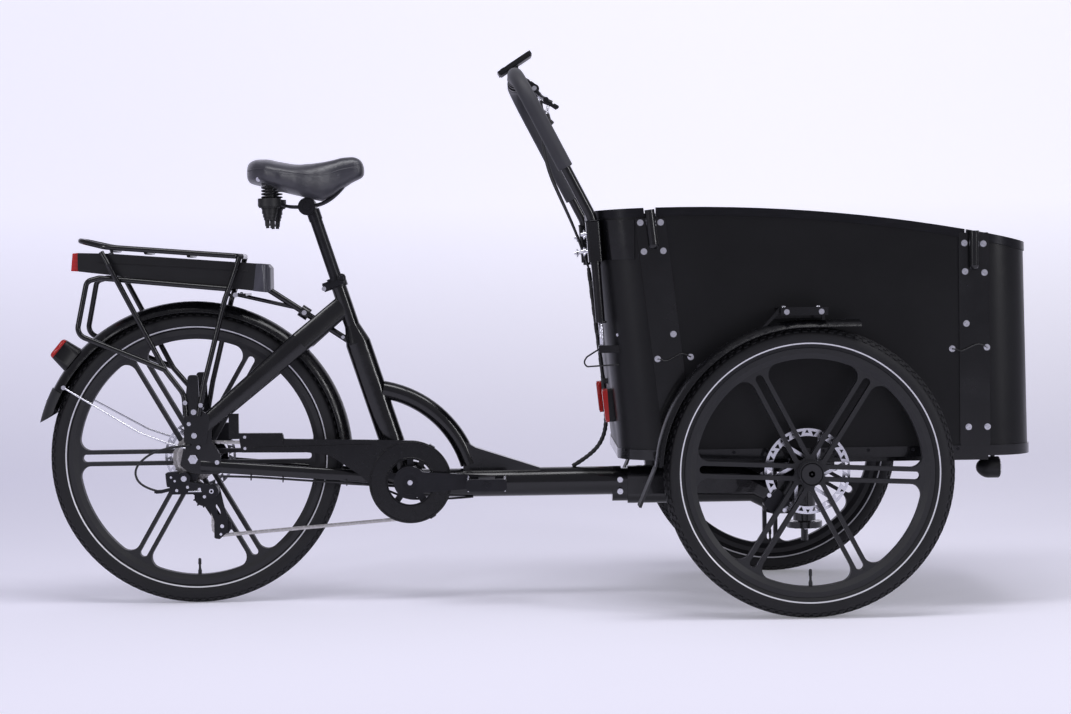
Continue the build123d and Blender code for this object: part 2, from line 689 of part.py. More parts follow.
saddle_back = rear_x + 122
saddle_nose = rear_x + 385
saddle_width = 208.0
saddle_low = 889.0
saddle_high = 994.0
rail_height = 886.0
rail_diameter = 7.0
spring_x = rear_x + 177
spring_y = 62.0
spring_foot = 898.0
clamp_x = rear_x + 256
with BuildPart() as saddle:
    with BuildSketch(Plane.XY.offset(saddle_low)):
        with BuildLine():
            Spline((saddle_back, 0), (saddle_back + 24, 78), (saddle_back + 78, saddle_width / 2),
                   (saddle_back + 138, 66), (saddle_nose - 52, 27), (saddle_nose, 0),
                   tangents=((0, 1), (0, -1)))
            mirror(about=Plane.XZ)
        make_face()
    extrude(amount=saddle_high - saddle_low)
    with BuildSketch(Plane.XZ):
        with BuildLine():
            Spline((saddle_back, 954), (saddle_back + 34, 992), (saddle_back + 130, 978),
                   (saddle_nose - 40, 990), (saddle_nose, 962), tangents=((0.2, 1), (0, -1)))
            Polyline((saddle_nose, 962), (saddle_nose - 3, 943), (saddle_nose - 56, 926),
                     (saddle_nose - 90, 901), (saddle_nose - 113, saddle_low), (saddle_back + 92, 908),
                     (saddle_back + 6, 938), (saddle_back, 954))
        make_face()
    extrude(amount=saddle_width, both=True, mode=Mode.INTERSECT)
save(saddle.part, "saddle")

# Springs and wire rails under the saddle, and the round clamp head on the post.
with BuildPart() as saddle_frame:
    for side in (-1, 1):
        with Locations((spring_x, side * spring_y, spring_foot)):
            Cylinder(20, 46, align=(Align.CENTER, Align.CENTER, Align.MIN))
        with Locations((spring_x, side * spring_y, spring_foot)):
            Cylinder(26, 20, align=(Align.CENTER, Align.CENTER, Align.MAX))
        with Locations((spring_x, side * spring_y, spring_foot - 20)):
            Cone(4.5, 9, 46, align=(Align.CENTER, Align.CENTER, Align.MAX))
        add(bent_tube([(spring_x + 14, side * spring_y, rail_height + 3),
                       (spring_x + 46, side * 26, rail_height - 6),
                       (rear_x + 288, side * 20, rail_height - 4), (rear_x + 350, side * 8, saddle_low + 52)],
                      [18, 60], rail_diameter))
    with BuildSketch(across(clamp_x, 29, rail_height - 5)):
        Circle(20)
    extrude(amount=58)
    with BuildSketch(seat_plane.offset(seat_length + 132)):
        Circle(post_diameter / 2 + 5)
        Circle(post_diameter / 2, mode=Mode.SUBTRACT)
    extrude(amount=28)
    add(seat_post.part, mode=Mode.SUBTRACT)
    add(saddle.part, mode=Mode.SUBTRACT)
save(saddle_frame.part, "saddle_frame")

# ---------------------------------------------------------------- rear rack, battery and lights
# A tubular loop on two pairs of bent legs carries the battery on a lower pair of rails.
rack_tube = 12.0
rack_half = 60.0
leg_y = 66.0
with BuildPart() as rack_deck:
    add(bent_tube(
        [(rear_x + 110, -40, 772), (rear_x + 99, -rack_half, 773), (rear_x - 187, -rack_half, 797),
         (rear_x - 248, -34, 812), (rear_x - 248, 34, 812), (rear_x - 187, rack_half, 797),
         (rear_x + 99, rack_half, 773), (rear_x + 110, 40, 772)],
        [9, 60, 30, 30, 60, 9], rack_tube))
    with BuildSketch(across(rear_x + 110, 41, 772)):
        Circle(rack_tube / 2)
    extrude(amount=82)
    for x, z in ((-173, 789), (-98, 783), (-4, 775)):
        with BuildSketch(across(rear_x + x, rack_half, z)):
            Circle(4)
        extrude(amount=2 * rack_half)
save(rack_deck.part, "rack_deck")

with BuildPart() as rack_legs:
    for side in (-1, 1):
        y = side * leg_y
        add(bent_tube([(rear_x - 196, side * rack_half, 786), (rear_x - 180, y, 758), (rear_x - 60, y, 524),
                       (rear_x - 17, side * (leg_y + 14), 470), (rear_x - 14, side * (leg_y + 18.5), 422)],
                      [12, 40, 40], rack_tube))
        add(bent_tube([(rear_x + 108, side * rack_half, 770), (rear_x + 96, y, 732), (rear_x + 75, y, 677),
                       (rear_x + 27, side * (leg_y + 14), 490), (rear_x + 14, side * (leg_y + 18.5), 422)],
                      [12, 60, 40], rack_tube))
        add(bent_tube([(rear_x + 88, side * 54, 700), (rear_x - 202, side * 54, 729), (rear_x - 228, y, 722),
                       (rear_x - 252, side * (leg_y + 6), 605), (rear_x - 58, side * (leg_y + 2), 524)],
                      [12, 16, 24], rack_tube))
    add(rack_deck.part, mode=Mode.SUBTRACT)
    add(upper_stays, mode=Mode.SUBTRACT)
    add(both_sides(dropout.part), mode=Mode.SUBTRACT)
    add(both_sides(rear_bracket.part), mode=Mode.SUBTRACT)
save(rack_legs.part, "rack_legs")

battery_half = 50.0
battery_back = rear_x - 250
battery_nose = rear_x + 174
with BuildPart() as battery:
    with BuildSketch(Plane.XZ) as battery_side:
        Polygon((battery_back, 744), (battery_back, 785), (battery_back + 60, 783), (battery_nose - 9, 754),
                (battery_nose, 745), (battery_nose, 698), (battery_nose - 8, 692), align=None)
        fillet(battery_side.vertices(), 4)
    extrude(amount=battery_half, both=True)
    with BuildSketch(Plane.XY.offset(680)) as battery_plan:
        with Locations((battery_nose, 0)):
            Rectangle(500, 2 * battery_half, align=(Align.MAX, Align.CENTER))
        fillet(battery_plan.vertices().group_by(Axis.X)[-1], 18)
    extrude(amount=120, mode=Mode.INTERSECT)
    add(rack_deck.part, mode=Mode.SUBTRACT)
    add(rack_legs.part, mode=Mode.SUBTRACT)
save(battery.part, "battery")

with BuildPart() as tail_light:
    with BuildSketch(Plane.XZ):
        Polygon((battery_back - 16, 745), (battery_back - 12, 784), (battery_back, 785), (battery_back, 744),
                align=None)
    extrude(amount=battery_half - 6, both=True)

# Strut from under the battery to the seat tube, with a clamp on it and a thinner link to the front legs.
with BuildPart() as rack_strut:
    add(rod((rear_x + 156, 0, 704), (rear_x + 340, 0, 582), 14))
    add(rod((rear_x + 236, 0, 651), (rear_x + 254, 0, 639), 28))
    add(rod((rear_x + 96, 0, 687), (rear_x + 222, 0, 657), 9))
    with Locations((rear_x + 98, 0, 687)):
        Box(46, 124, 6)
    add(battery.part, mode=Mode.SUBTRACT)
    add(rack_legs.part, mode=Mode.SUBTRACT)
    add(main_frame.part, mode=Mode.SUBTRACT)
save(largest(rack_strut.part), "rack_strut")

rear_guard_radius = 353.0
rear_guard_x = rear_x - 5
rear_guard_z = rear_z - 5
guard_sheet = 2.5


def mudguard_arc(x, y, z, radius, half_width, drop, start_angle, arc):
    """A crowned sheet bent round a wheel, from start_angle above +X through arc degrees over the top."""
    inner = radius - guard_sheet
    edge = half_width - guard_sheet
    start = Plane(origin=(x, y, z), x_dir=(0, 1, 0),
                  z_dir=(sin(radians(start_angle)), 0, -cos(radians(start_angle))))
    with BuildPart() as sheet:
        with BuildSketch(start):
            with BuildLine():
                ThreePointArc((-half_width, radius - drop), (0, radius), (half_width, radius - drop))
                Line((half_width, radius - drop), (edge, radius - drop))
                ThreePointArc((edge, radius - drop), (0, inner), (-edge, radius - drop))
                Line((-edge, radius - drop), (-half_width, radius - drop))
            make_face()
        revolve(axis=Axis((x, y, z), (0, -1, 0)), revolution_arc=arc)
    return sheet.part


rear_guard_half = 31.0
rear_guard_drop = 24.0
rear_guard_start = -2.0
rear_guard_end = 160.0
rear_mudguard = mudguard_arc(rear_guard_x, 0, rear_guard_z, rear_guard_radius, rear_guard_half,
                             rear_guard_drop, rear_guard_start, rear_guard_end - rear_guard_start)
save(rear_mudguard, "rear_mudguard")


def on_rear_guard(angle, out=0.0):
    """A point (x, z) of the rear mudguard's crown at an angle above +X, moved outwards by out."""
    reach = rear_guard_radius + out
    return (rear_guard_x + reach * cos(radians(angle)), rear_guard_z + reach * sin(radians(angle)))


def outwards(angle):
    """The direction that leads away from the rear axle at an angle above +X."""
    return Vector(cos(radians(angle)), 0, sin(radians(angle)))


# Wire stays from the dropouts to the mudguard's edges, and a bridge under the seat tube.
wire = 4.5
stay_angle = 150.0
bridge_angle = 44.0
with BuildPart() as rear_mudguard_stays:
    for side in (-1, 1):
        edge_x, edge_z = on_rear_guard(stay_angle, -rear_guard_drop + 1)
        add(bent_tube([(rear_x - 17, side * (dropout_y + dropout_thickness + 2), rear_z + 24),
                       (rear_x - 62, side * (dropout_y + 8), rear_z + 38),
                       (rear_x - 120, side * 66, rear_z + 60),
                       (edge_x, side * (rear_guard_half - 1), edge_z)],
                      [40, 90], wire))
    bridge_x, bridge_z = on_rear_guard(bridge_angle, -2)
    with BuildSketch(Plane(origin=(bridge_x, 0, bridge_z), x_dir=(0, 1, 0), z_dir=outwards(bridge_angle))):
        Rectangle(84, 12)
    extrude(amount=12)
    add(rear_mudguard, mode=Mode.SUBTRACT)
    add(upper_stays, mode=Mode.SUBTRACT)
    for piece in (dropout.part, rear_bracket.part):
        add(both_sides(piece), mode=Mode.SUBTRACT)
save(rear_mudguard_stays.part, "rear_mudguard_stays")

# A rubber flap riveted on the outside of the mudguard's end and cut to a point.
flap_start = 152.5
flap_end = 166.4
flap_radius = rear_guard_radius + guard_sheet
with BuildPart() as rear_mudflap:
    add(mudguard_arc(rear_guard_x, 0, rear_guard_z, flap_radius, rear_guard_half + guard_sheet,
                     rear_guard_drop + guard_sheet, flap_start, flap_end - flap_start))
    tip_x, tip_z = on_rear_guard(flap_end, guard_sheet)
    low_x, low_z = on_rear_guard(rear_guard_end, -rear_guard_drop)
    with BuildSketch(Plane.XZ):
        Polygon((tip_x - 1, tip_z + 2), (low_x + 3, low_z - 3), (low_x + 40, low_z - 90), (tip_x, tip_z - 60),
                align=None)
    extrude(amount=2 * rear_guard_half, both=True, mode=Mode.SUBTRACT)
save(largest(rear_mudflap.part), "rear_mudflap")

# A domed lamp on the mudguard; its lens looks back.
lamp_angle = 140.0
lamp_x, lamp_z = on_rear_guard(lamp_angle, guard_sheet - 8)
with BuildPart() as rear_lamp:
    with BuildSketch(Plane(origin=(lamp_x, 0, lamp_z), x_dir=(0, 1, 0), z_dir=outwards(lamp_angle))):
        RectangleRounded(40, 62, 16)
    extrude(amount=50, taper=8)
    lens = rear_lamp.faces().sort_by(Axis((0, 0, 0), outwards(lamp_angle)))[-1]
    fillet(lens.edges(), 7)
    add(rear_mudguard, mode=Mode.SUBTRACT)
    add(rear_mudflap.part, mode=Mode.SUBTRACT)
save(Part() + [tail_light.part, largest(rear_lamp.part)], "rear_lights")

# ---------------------------------------------------------------- cargo box
# Four bent plywood panels stand in a rim on a floor board. The front and back panels wrap round the corners
# to meet the flat sides, the back leans, and the rim of the box follows one long arc down to the front.
box_arc_apex = front_x - 261
back_run = 54.8
front_run = 8.2
back_foot = box_back_top + back_run
back_lean = Vector(-back_run, 0, box_top - box_bottom)
front_lean = Vector(-front_run, 0, box_top - box_bottom)
side_joint_slope = 0.114
back_joint_top = front_x - 333
side_joint_top = front_x - 307
front_side_joint = front_x + 345
front_panel_joint = front_x + 350
front_corner_radius = 92.0
trim_height = 18.0
past_sides = box_half_width + 40
trim_wall = 2.5


def under_arc(drop):
    """Everything in the box's length below the long top arc, lowered by drop."""
    reach = box_top_arc - drop
    with BuildPart() as space:
        with BuildSketch(Plane.XZ):
            with Locations((box_arc_apex, box_top - box_top_arc)):
                Circle(reach)
            with Locations((box_arc_apex, box_bottom + 500)):
                Rectangle(2600, 1000, mode=Mode.INTERSECT)
        extrude(amount=past_sides, both=True)
    return space.part


end_block = 300.0


def box_end(front, grow):
    """The solid that fills the front or back end of the box, with its outer face moved out by grow."""
    corner = front_corner_radius if front else box_corner_radius
    end = front_x + box_front + grow if front else front_x + back_foot - grow
    with BuildPart() as block:
        with BuildSketch(Plane.XY.offset(box_bottom)) as plan:
            with Locations((end, 0)):
                Rectangle(end_block, 2 * (box_half_width + grow),
                          align=(Align.MAX if front else Align.MIN, Align.CENTER))
            fillet(plan.vertices().group_by(Axis.X)[-1 if front else 0], corner + grow)
        rise = front_lean if front else back_lean
        extrude(amount=rise.length, dir=rise)
    return block.part


def bent_panel(front, grow):
    """The front or back panel before its edges are cut; grow moves both of its faces outwards."""
    return box_end(front, grow) - box_end(front, -box_wall - grow)


def keep_between(x_top_low, x_top_high, slope):
    """The slab of the box's length between two joints, whose upper ends are given and which lean by slope."""
    low, high = box_bottom - 20, box_top + 20
    shift = slope * (box_top - low)
    with BuildPart() as slab:
        with BuildSketch(Plane.XZ):
            Polygon((x_top_low - slope * 20, high), (x_top_high - slope * 20, high),
                    (x_top_high + shift, low), (x_top_low + shift, low), align=None)
        extrude(amount=past_sides, both=True)
    return slab.part


back_zone = keep_between(front_x - 600, back_joint_top, side_joint_slope)
front_zone = keep_between(front_panel_joint, front_x + 600, 0)
panel_top = under_arc(trim_wall)
box_back = bent_panel(False, 0) & back_zone & panel_top
box_front_panel = bent_panel(True, 0) & front_zone & panel_top
with BuildPart() as box_side:
    with BuildSketch(Plane.XZ.offset(box_half_width - box_wall)):
        Polygon((side_joint_top, box_top), (front_side_joint, box_top), (front_side_joint, box_bottom),
                (side_joint_top + side_joint_slope * (box_top - box_bottom), box_bottom), align=None)
    extrude(amount=box_wall)
    add(panel_top, mode=Mode.INTERSECT)
save(box_back, "box_back")
save(box_front_panel, "box_front")
save(both_sides(box_side.part), "box_sides")
panels = [box_back, box_front_panel, box_side.part, box_side.part.mirror(Plane.XZ)]

trim_zone = under_arc(0) - under_arc(trim_height)
trim_side = Pos((side_joint_top + front_side_joint) / 2, -box_half_width + box_wall / 2, box_top - 60) * Box(
    front_side_joint - side_joint_top, box_wall + 2 * trim_wall, 160)
box_trim = Part() + [
    (bent_panel(False, trim_wall) & back_zone & trim_zone) - box_back,
    (bent_panel(True, trim_wall) & front_zone & trim_zone) - box_front_panel,
    (trim_side & trim_zone) - box_side.part,
    ((trim_side & trim_zone) - box_side.part).mirror(Plane.XZ),
]
save(box_trim, "box_trim")

# Floor board between the panels, a little short of the front one, which leans in over it; and the rim: an
# angle section that the panels stand in.
floor_gap = 1.0
rim_lip = 8.0
rim_height = 22.0
rim_wall = 4.0
with BuildPart() as box_floor:
    with BuildSketch(Plane.XY.offset(box_bottom)) as floor_plan:
        with Locations((front_x + back_foot + box_wall, 0)):
            Rectangle(box_front - back_foot - 2 * box_wall - floor_gap, 2 * (box_half_width - box_wall),
                      align=(Align.MIN, Align.CENTER))
        fillet(floor_plan.vertices().group_by(Axis.X)[0], box_corner_radius - box_wall)
        fillet(floor_plan.vertices().group_by(Axis.X)[-1], front_corner_radius - box_wall)
    extrude(amount=floor_thickness)
    for panel in panels:
        add(panel, mode=Mode.SUBTRACT)
save(box_floor.part, "box_floor")

with BuildPart() as box_rim:
    with BuildSketch(Plane.XY.offset(box_bottom - rim_lip)) as rim_plan:
        with Locations((front_x + back_foot - rim_wall, 0)):
            Rectangle(box_front - back_foot + 2 * rim_wall - 1, 2 * (box_half_width + rim_wall),
                      align=(Align.MIN, Align.CENTER))
        fillet(rim_plan.vertices().group_by(Axis.X)[0], box_corner_radius + rim_wall)
        fillet(rim_plan.vertices().group_by(Axis.X)[-1], front_corner_radius + rim_wall)
    extrude(amount=rim_height)
    with BuildSketch(Plane.XY.offset(box_bottom - rim_lip)):
        add(rim_plan.sketch)
        offset(amount=-40, mode=Mode.REPLACE)
    extrude(amount=rim_lip, mode=Mode.SUBTRACT)
    for panel in panels:
        add(panel, mode=Mode.SUBTRACT)
    with BuildSketch(Plane.XY.offset(box_bottom)):
        add(rim_plan.sketch)
        offset(amount=-rim_wall - 0.5, mode=Mode.REPLACE)
    extrude(amount=rim_height, mode=Mode.SUBTRACT)
save(box_rim.part, "box_rim")

# Joint strips: a steel strap over each corner joint, with a socket for a canopy pole.
strip_wall = 3.0
strip_width = 64.0
socket_radius = 10.5
socket_wall = 1.5
socket_floor = 4.0
strip_foot = box_bottom + rim_height - rim_lip
back_strip_top = front_x - 351
back_strip_height = 838.0
front_strip_left = front_x + 332
front_strip_height = 798.0


def corner_strip(top_x, top_z, slope, socket_x, socket_top, socket_length):
    """A strap on the right side of the box, leaning back by slope, and the pole socket welded on it."""
    shift = slope * (top_z - strip_foot)
    socket_y = -(box_half_width + strip_wall + socket_radius - 1)
    socket_axis = Vector(-slope, 0, 1).normalized()
    socket_high = Vector(socket_x, socket_y, socket_top)
    socket_low = socket_high - socket_axis * socket_length
    with BuildPart() as strip:
        with BuildSketch(Plane.XZ.offset(box_half_width)) as face:
            Polygon((top_x, top_z), (top_x + strip_width, top_z), (top_x + strip_width + shift, strip_foot),
                    (top_x + shift, strip_foot), align=None)
            fillet(face.vertices(), 4)
        extrude(amount=strip_wall)
        add(rod(socket_low, socket_high, 2 * socket_radius))
        with Locations(Pos(*socket_low)):
            Sphere(socket_radius)
        add(rod(socket_low + socket_axis * socket_floor, socket_high + socket_axis,
                2 * (socket_radius - socket_wall)), mode=Mode.SUBTRACT)
        with BuildSketch(Plane.XZ.offset(box_half_width - 20)):
            Rectangle(4000, 4000)
        extrude(amount=20, mode=Mode.SUBTRACT)
        add(box_trim, mode=Mode.SUBTRACT)
    return strip.part


back_strip = corner_strip(back_strip_top, back_strip_height, side_joint_slope, front_x - 321, 856, 74)
front_strip = corner_strip(front_strip_left, front_strip_height, 0, front_x + 363, 802, 73)
corner_strips = Part() + [back_strip, front_strip, back_strip.mirror(Plane.XZ), front_strip.mirror(Plane.XZ)]
save(corner_strips, "corner_strips")

# ---------------------------------------------------------------- steered chassis
# Two long rails under the floor, cross tubes, the front axle beam with its end plates and stub axles, and
# the kingpin with its turntable disc above and its thrust flange below the frame's head tube.
rail_y = 170.0
rail_width = 30.0
rail_top = box_bottom - rim_lip
rail_bottom = rail_top - 19
rail_back = front_x - 330
rail_front = front_x + 415
beam_diameter = 36.0
beam_end = 335.0
knuckle_thickness = 9.0
stub_diameter = 20.0
disc_inner_y = half_track - 34
turntable_bottom = head_tube_top + moving_gap
flange_top = head_tube_bottom - 2
with BuildPart() as front_chassis:
    for side in (-1, 1):
        with Locations((rail_back, side * rail_y, rail_bottom)):
            Box(rail_front - rail_back, rail_width, rail_top - rail_bottom,
                align=(Align.MIN, Align.CENTER, Align.MIN))
    for x in (rail_back + 60, kingpin_x + 45, rail_front - 40):
        with Locations((x, 0, rail_bottom)):
            Box(30, 2 * rail_y, rail_top - rail_bottom, align=(Align.CENTER, Align.CENTER, Align.MIN))
    with BuildSketch(across(front_x, beam_end, front_z)):
        Circle(beam_diameter / 2)
    extrude(amount=2 * beam_end)
    for side in (-1, 1):
        with BuildSketch(across(front_x, side * beam_end, front_z)) as knuckle:
            with BuildLine():
                Polyline((-96, -84), (-66, -92), (24, -24), (26, 26), (-26, 34), (-80, -54), close=True)
            make_face()
            fillet(knuckle.vertices(), 8)
        extrude(amount=-side * knuckle_thickness)
        with BuildSketch(across(front_x, side * (beam_end + knuckle_thickness), front_z)):
            Circle(stub_diameter / 2)
        extrude(amount=-side * (half_track + 36 - beam_end - knuckle_thickness))
        with BuildSketch(across(front_x, side * (beam_end + knuckle_thickness), front_z)):
            Circle(stub_diameter / 2 + 5)
        extrude(amount=-side * (disc_inner_y - beam_end - knuckle_thickness - 2))
        with Locations((front_x, side * rail_y, front_z)):
            Box(44, rail_width, rail_top - front_z, align=(Align.CENTER, Align.CENTER, Align.MIN))
    with Locations((kingpin_x, 0, turntable_bottom)):
        Cylinder(75, 10, align=(Align.CENTER, Align.CENTER, Align.MIN))
    with Locations((kingpin_x, 0, turntable_bottom)):
        Box(130, 60, rail_top - turntable_bottom, align=(Align.CENTER, Align.CENTER, Align.MIN))
    with Locations((kingpin_x, 0, flange_top)):
        Cylinder(kingpin_diameter / 2, turntable_bottom - flange_top + 2,
                 align=(Align.CENTER, Align.CENTER, Align.MIN))
    with Locations((kingpin_x, 0, flange_top - 14)):
        Cylinder(39.5, 14, align=(Align.CENTER, Align.CENTER, Align.MIN))
    with Locations((kingpin_x, 0, flange_top - 44)):
        Cylinder(8, 30, align=(Align.CENTER, Align.CENTER, Align.MIN))
save(front_chassis.part, "front_chassis")

# ---------------------------------------------------------------- front wheels
front_hub_radius = 26.0
hub_outer = 38.0
disc_radius = 90.0
for side, name, turn in ((-1, "right", -2.5), (1, "left", 30)):
    y = side * half_track
    inboard = -side * 32
    outboard = side * hub_outer
    with BuildPart() as front_wheel:
        add(cast_wheel(front_x, y, front_z, front_bead_radius, front_hub_radius, min(inboard, outboard),
                       max(inboard, outboard), stub_diameter + 2 * pin_gap, turn))
        with BuildSketch(across(front_x, y + outboard, front_z)):
            Circle(front_hub_radius - 1)
        extrude(amount=-side * 9)
    save(front_wheel.part, f"front_wheel_{name}")
    save(tyre(front_x, y, front_z, front_tyre_radius, front_tyre_width, front_bead_radius),
         f"front_tyre_{name}")
    disc_left = y + inboard + (disc_thickness if side < 0 else 0)
    save(brake_disc(front_x, disc_left, front_z, disc_radius, stub_diameter / 2 + pin_gap, disc_thickness, 6),
         f"front_disc_{name}")

with BuildPart() as front_caliper:
    with BuildSketch(across(front_x - 66, -beam_end - knuckle_thickness, front_z - 64)):
        RectangleRounded(46, 40, 8, rotation=45)
    extrude(amount=disc_inner_y + 14 - beam_end - knuckle_thickness)
    with BuildSketch(across(front_x, -disc_inner_y + moving_gap, front_z)):
        Circle(disc_radius + moving_gap)
    extrude(amount=disc_thickness + 2 * moving_gap, mode=Mode.SUBTRACT)
save(both_sides(front_caliper.part), "front_calipers")

# ---------------------------------------------------------------- front mudguards
front_guard_radius = 318.0
front_guard_half = 33.0
front_guard_drop = 14.0
front_guard_back = -4.0
guard_x = front_x + front_guard_back
with BuildPart() as front_mudguard:
    add(mudguard_arc(guard_x, -half_track, front_z, front_guard_radius, front_guard_half, front_guard_drop,
                     90, 87))
    extrude(front_mudguard.faces().filter_by(Axis.X).sort_by(Axis.Z)[-1], amount=112)
save(both_sides(front_mudguard.part), "front_mudguards")

with BuildPart() as front_mudflap:
    with BuildSketch(Plane.XZ.offset(half_track)):
        Polygon((front_x - 322, front_z + 17), (front_x - 319, front_z + 17), (front_x - 352, front_z - 66),
                (front_x - 357, front_z - 64), align=None)
    extrude(amount=front_guard_half, both=True)
    add(front_mudguard.part, mode=Mode.SUBTRACT)
save(both_sides(largest(front_mudflap.part)), "front_mudflaps")

# A folded plate from the side of the box stands over each wheel and holds the mudguard on two short legs; a
# block on the rim of the box holds its rear edge.
plate_back = front_x - 58
plate_front = front_x + 40
plate_top = 648.0
plate_sheet = 3.0
plate_outer = half_track + 25
guard_top = front_z + front_guard_radius
with BuildPart() as guard_bracket:
    for y, low in ((-box_half_width, 26), (-plate_outer + plate_sheet, 17)):
        with Locations((plate_back, y, plate_top)):
            Box(plate_front - plate_back, plate_sheet, low, align=(Align.MIN, Align.MAX, Align.MAX))
    with Locations((plate_back, -box_half_width, plate_top)):
        Box(plate_front - plate_back, plate_outer - box_half_width, plate_sheet,
            align=(Align.MIN, Align.MAX, Align.MAX))
    with BuildSketch(Plane.XZ.offset(half_track)):
        Polygon((plate_back, plate_top), (plate_back + 8, plate_top - plate_sheet),
                (guard_x - 83, guard_top - 13), (guard_x - 91, guard_top - 14), align=None)
        with Locations((plate_front - 8, guard_top - 1.5)):
            Rectangle(6, plate_top - guard_top, align=(Align.CENTER, Align.MIN))
    extrude(amount=8, both=True)
    add(front_mudguard.part, mode=Mode.SUBTRACT)
with BuildPart() as guard_block:
    with Locations((front_x - 312, -box_half_width - rim_wall, front_z + 27)):
        Box(16, half_track - front_guard_half + 1.5 - box_half_width - rim_wall, 13,
            align=(Align.CENTER, Align.MAX, Align.MIN))
    add(front_mudguard.part, mode=Mode.SUBTRACT)
save(both_sides(largest(guard_bracket.part)) + both_sides(largest(guard_block.part)), "mudguard_brackets")

# ---------------------------------------------------------------- handlebar
# One bent tube: two legs clamped to the back corners of the box rise and sweep back to a straight grip bar.
# A height strut under the right leg stands on a small foot on the box's back corner.
leg_foot = (front_x - 421.7, 570.0)
leg_knee = (front_x - 440, 842.0)
bar_top_x = front_x - 599
leg_slope = (leg_knee[0] - leg_foot[0]) / (leg_knee[1] - leg_foot[1])
strap_wall = 3.0
clamp_bottom = 748.0
clamp_top = 833.0


def leg_point(side, height):
    """The point of a leg's centre line at a height, below or above its knee."""
    if height < leg_knee[1]:
        x = leg_knee[0] + leg_slope * (height - leg_knee[1])
    else:
        x = leg_knee[0] + (bar_top_x - leg_knee[0]) * (height - leg_knee[1]) / (bar_top_height - leg_knee[1])
    return (x, side * bar_half_width, height)


def bar_corner(side):
    return (bar_top_x, side * bar_half_width, bar_top_height)


leg_end = clamp_bottom - 6
handlebar = bent_tube([leg_point(-1, leg_end), leg_point(-1, leg_knee[1]), bar_corner(-1), bar_corner(1),
                       leg_point(1, leg_knee[1]), leg_point(1, leg_end)], [60, 80, 80, 60], bar_diameter)
save(handlebar, "handlebar")

# Foam grips slid over the bar, round its corners and down the legs.
grip_inner_end = 120.0
grip_low_ends = {-1: 949.0, 1: 895.0}
bar_bend = 80
grips = [
    bent_tube([leg_point(side, low), bar_corner(side), (bar_top_x, side * grip_inner_end, bar_top_height)],
              [bar_bend], grip_diameter, bar_diameter)
    for side, low in grip_low_ends.items()
]
save(Part() + grips, "grips")

# Each leg is held by a clamp block on a steel strap that wraps the corner of the box.
with BuildPart() as handlebar_mount:
    add(box_end(False, strap_wall))
    add(box_end(False, 0), mode=Mode.SUBTRACT)
    with Locations((front_x + box_back_top - 60, -215, clamp_bottom + 4)):
        Box(148, 150, 84, align=(Align.MIN, Align.MAX, Align.MIN), mode=Mode.INTERSECT)
    with BuildSketch(Plane(origin=leg_point(-1, clamp_bottom), x_dir=(0, -1, 0), z_dir=(leg_slope, 0, 1))):
        RectangleRounded(42, 30, 6)
    extrude(amount=clamp_top - clamp_bottom)
    add(box_end(False, 0), mode=Mode.SUBTRACT)
    add(handlebar, mode=Mode.SUBTRACT)
save(both_sides(handlebar_mount.part), "handlebar_mounts")

# The strut under the right leg: a cylinder, and its bare rod with a foot against the bent panel.
strut_diameter = 20.0
strut_rod_diameter = 10.0
strut_low = 619.0
foot_height = 16.0
foot_width = 16.0
leg_strut = rod(leg_point(-1, leg_end), leg_point(-1, strut_low), strut_diameter)
save(leg_strut, "leg_strut")
with BuildPart() as strut_rod:
    add(rod(leg_point(-1, strut_low), leg_point(-1, leg_foot[1]), strut_rod_diameter))
    with Locations((leg_foot[0] - strut_rod_diameter / 2 - 3, -bar_half_width, leg_foot[1])):
        Box(60, foot_width, foot_height, align=(Align.MIN, Align.CENTER, Align.MAX))
    add(box_end(False, 0), mode=Mode.SUBTRACT)
save(largest(strut_rod.part), "strut_rod")

# Brake levers: a clamp on the bar, a perch forward and down from it, and a blade reaching outwards.
lever_y = 100.0
with BuildPart() as brake_lever:
    with BuildSketch(across(bar_top_x, -lever_y + 8, bar_top_height)):
        Circle(bar_diameter / 2 + 5)
    extrude(amount=16)
    with BuildSketch(Plane(origin=(bar_top_x, -lever_y + 8, bar_top_height), x_dir=(43, 0, -24),
                           z_dir=(0, -1, 0))):
        with Locations((28, 0)):
            SlotOverall(62, 20)
    extrude(amount=16)
    add(bent_tube([(bar_top_x + 43, -lever_y, bar_top_height - 24),
                   (bar_top_x + 56, -lever_y - 24, bar_top_height - 42),
                   (bar_top_x + 65, -lever_y - 115, bar_top_height - 55)], [18], 9))
    add(handlebar, mode=Mode.SUBTRACT)
save(both_sides(brake_lever.part), "brake_levers")

# The display: a thin tilted case on a stem from its clamp at the middle of the bar.
display_tilt = 33.0
with BuildPart() as display:
    with BuildSketch(across(bar_top_x, 10, bar_top_height)):
        Circle(bar_diameter / 2 + 5)
    extrude(amount=20)
    with Locations((bar_top_x, 0, bar_top_height + 24)):
        Box(16, 20, 34)
    with Locations(Pos(bar_top_x, 0, bar_top_height + 39) * Rot(0, -display_tilt, 0)):
        Box(86, 80, 9)
    add(handlebar, mode=Mode.SUBTRACT)
save(display.part, "display")

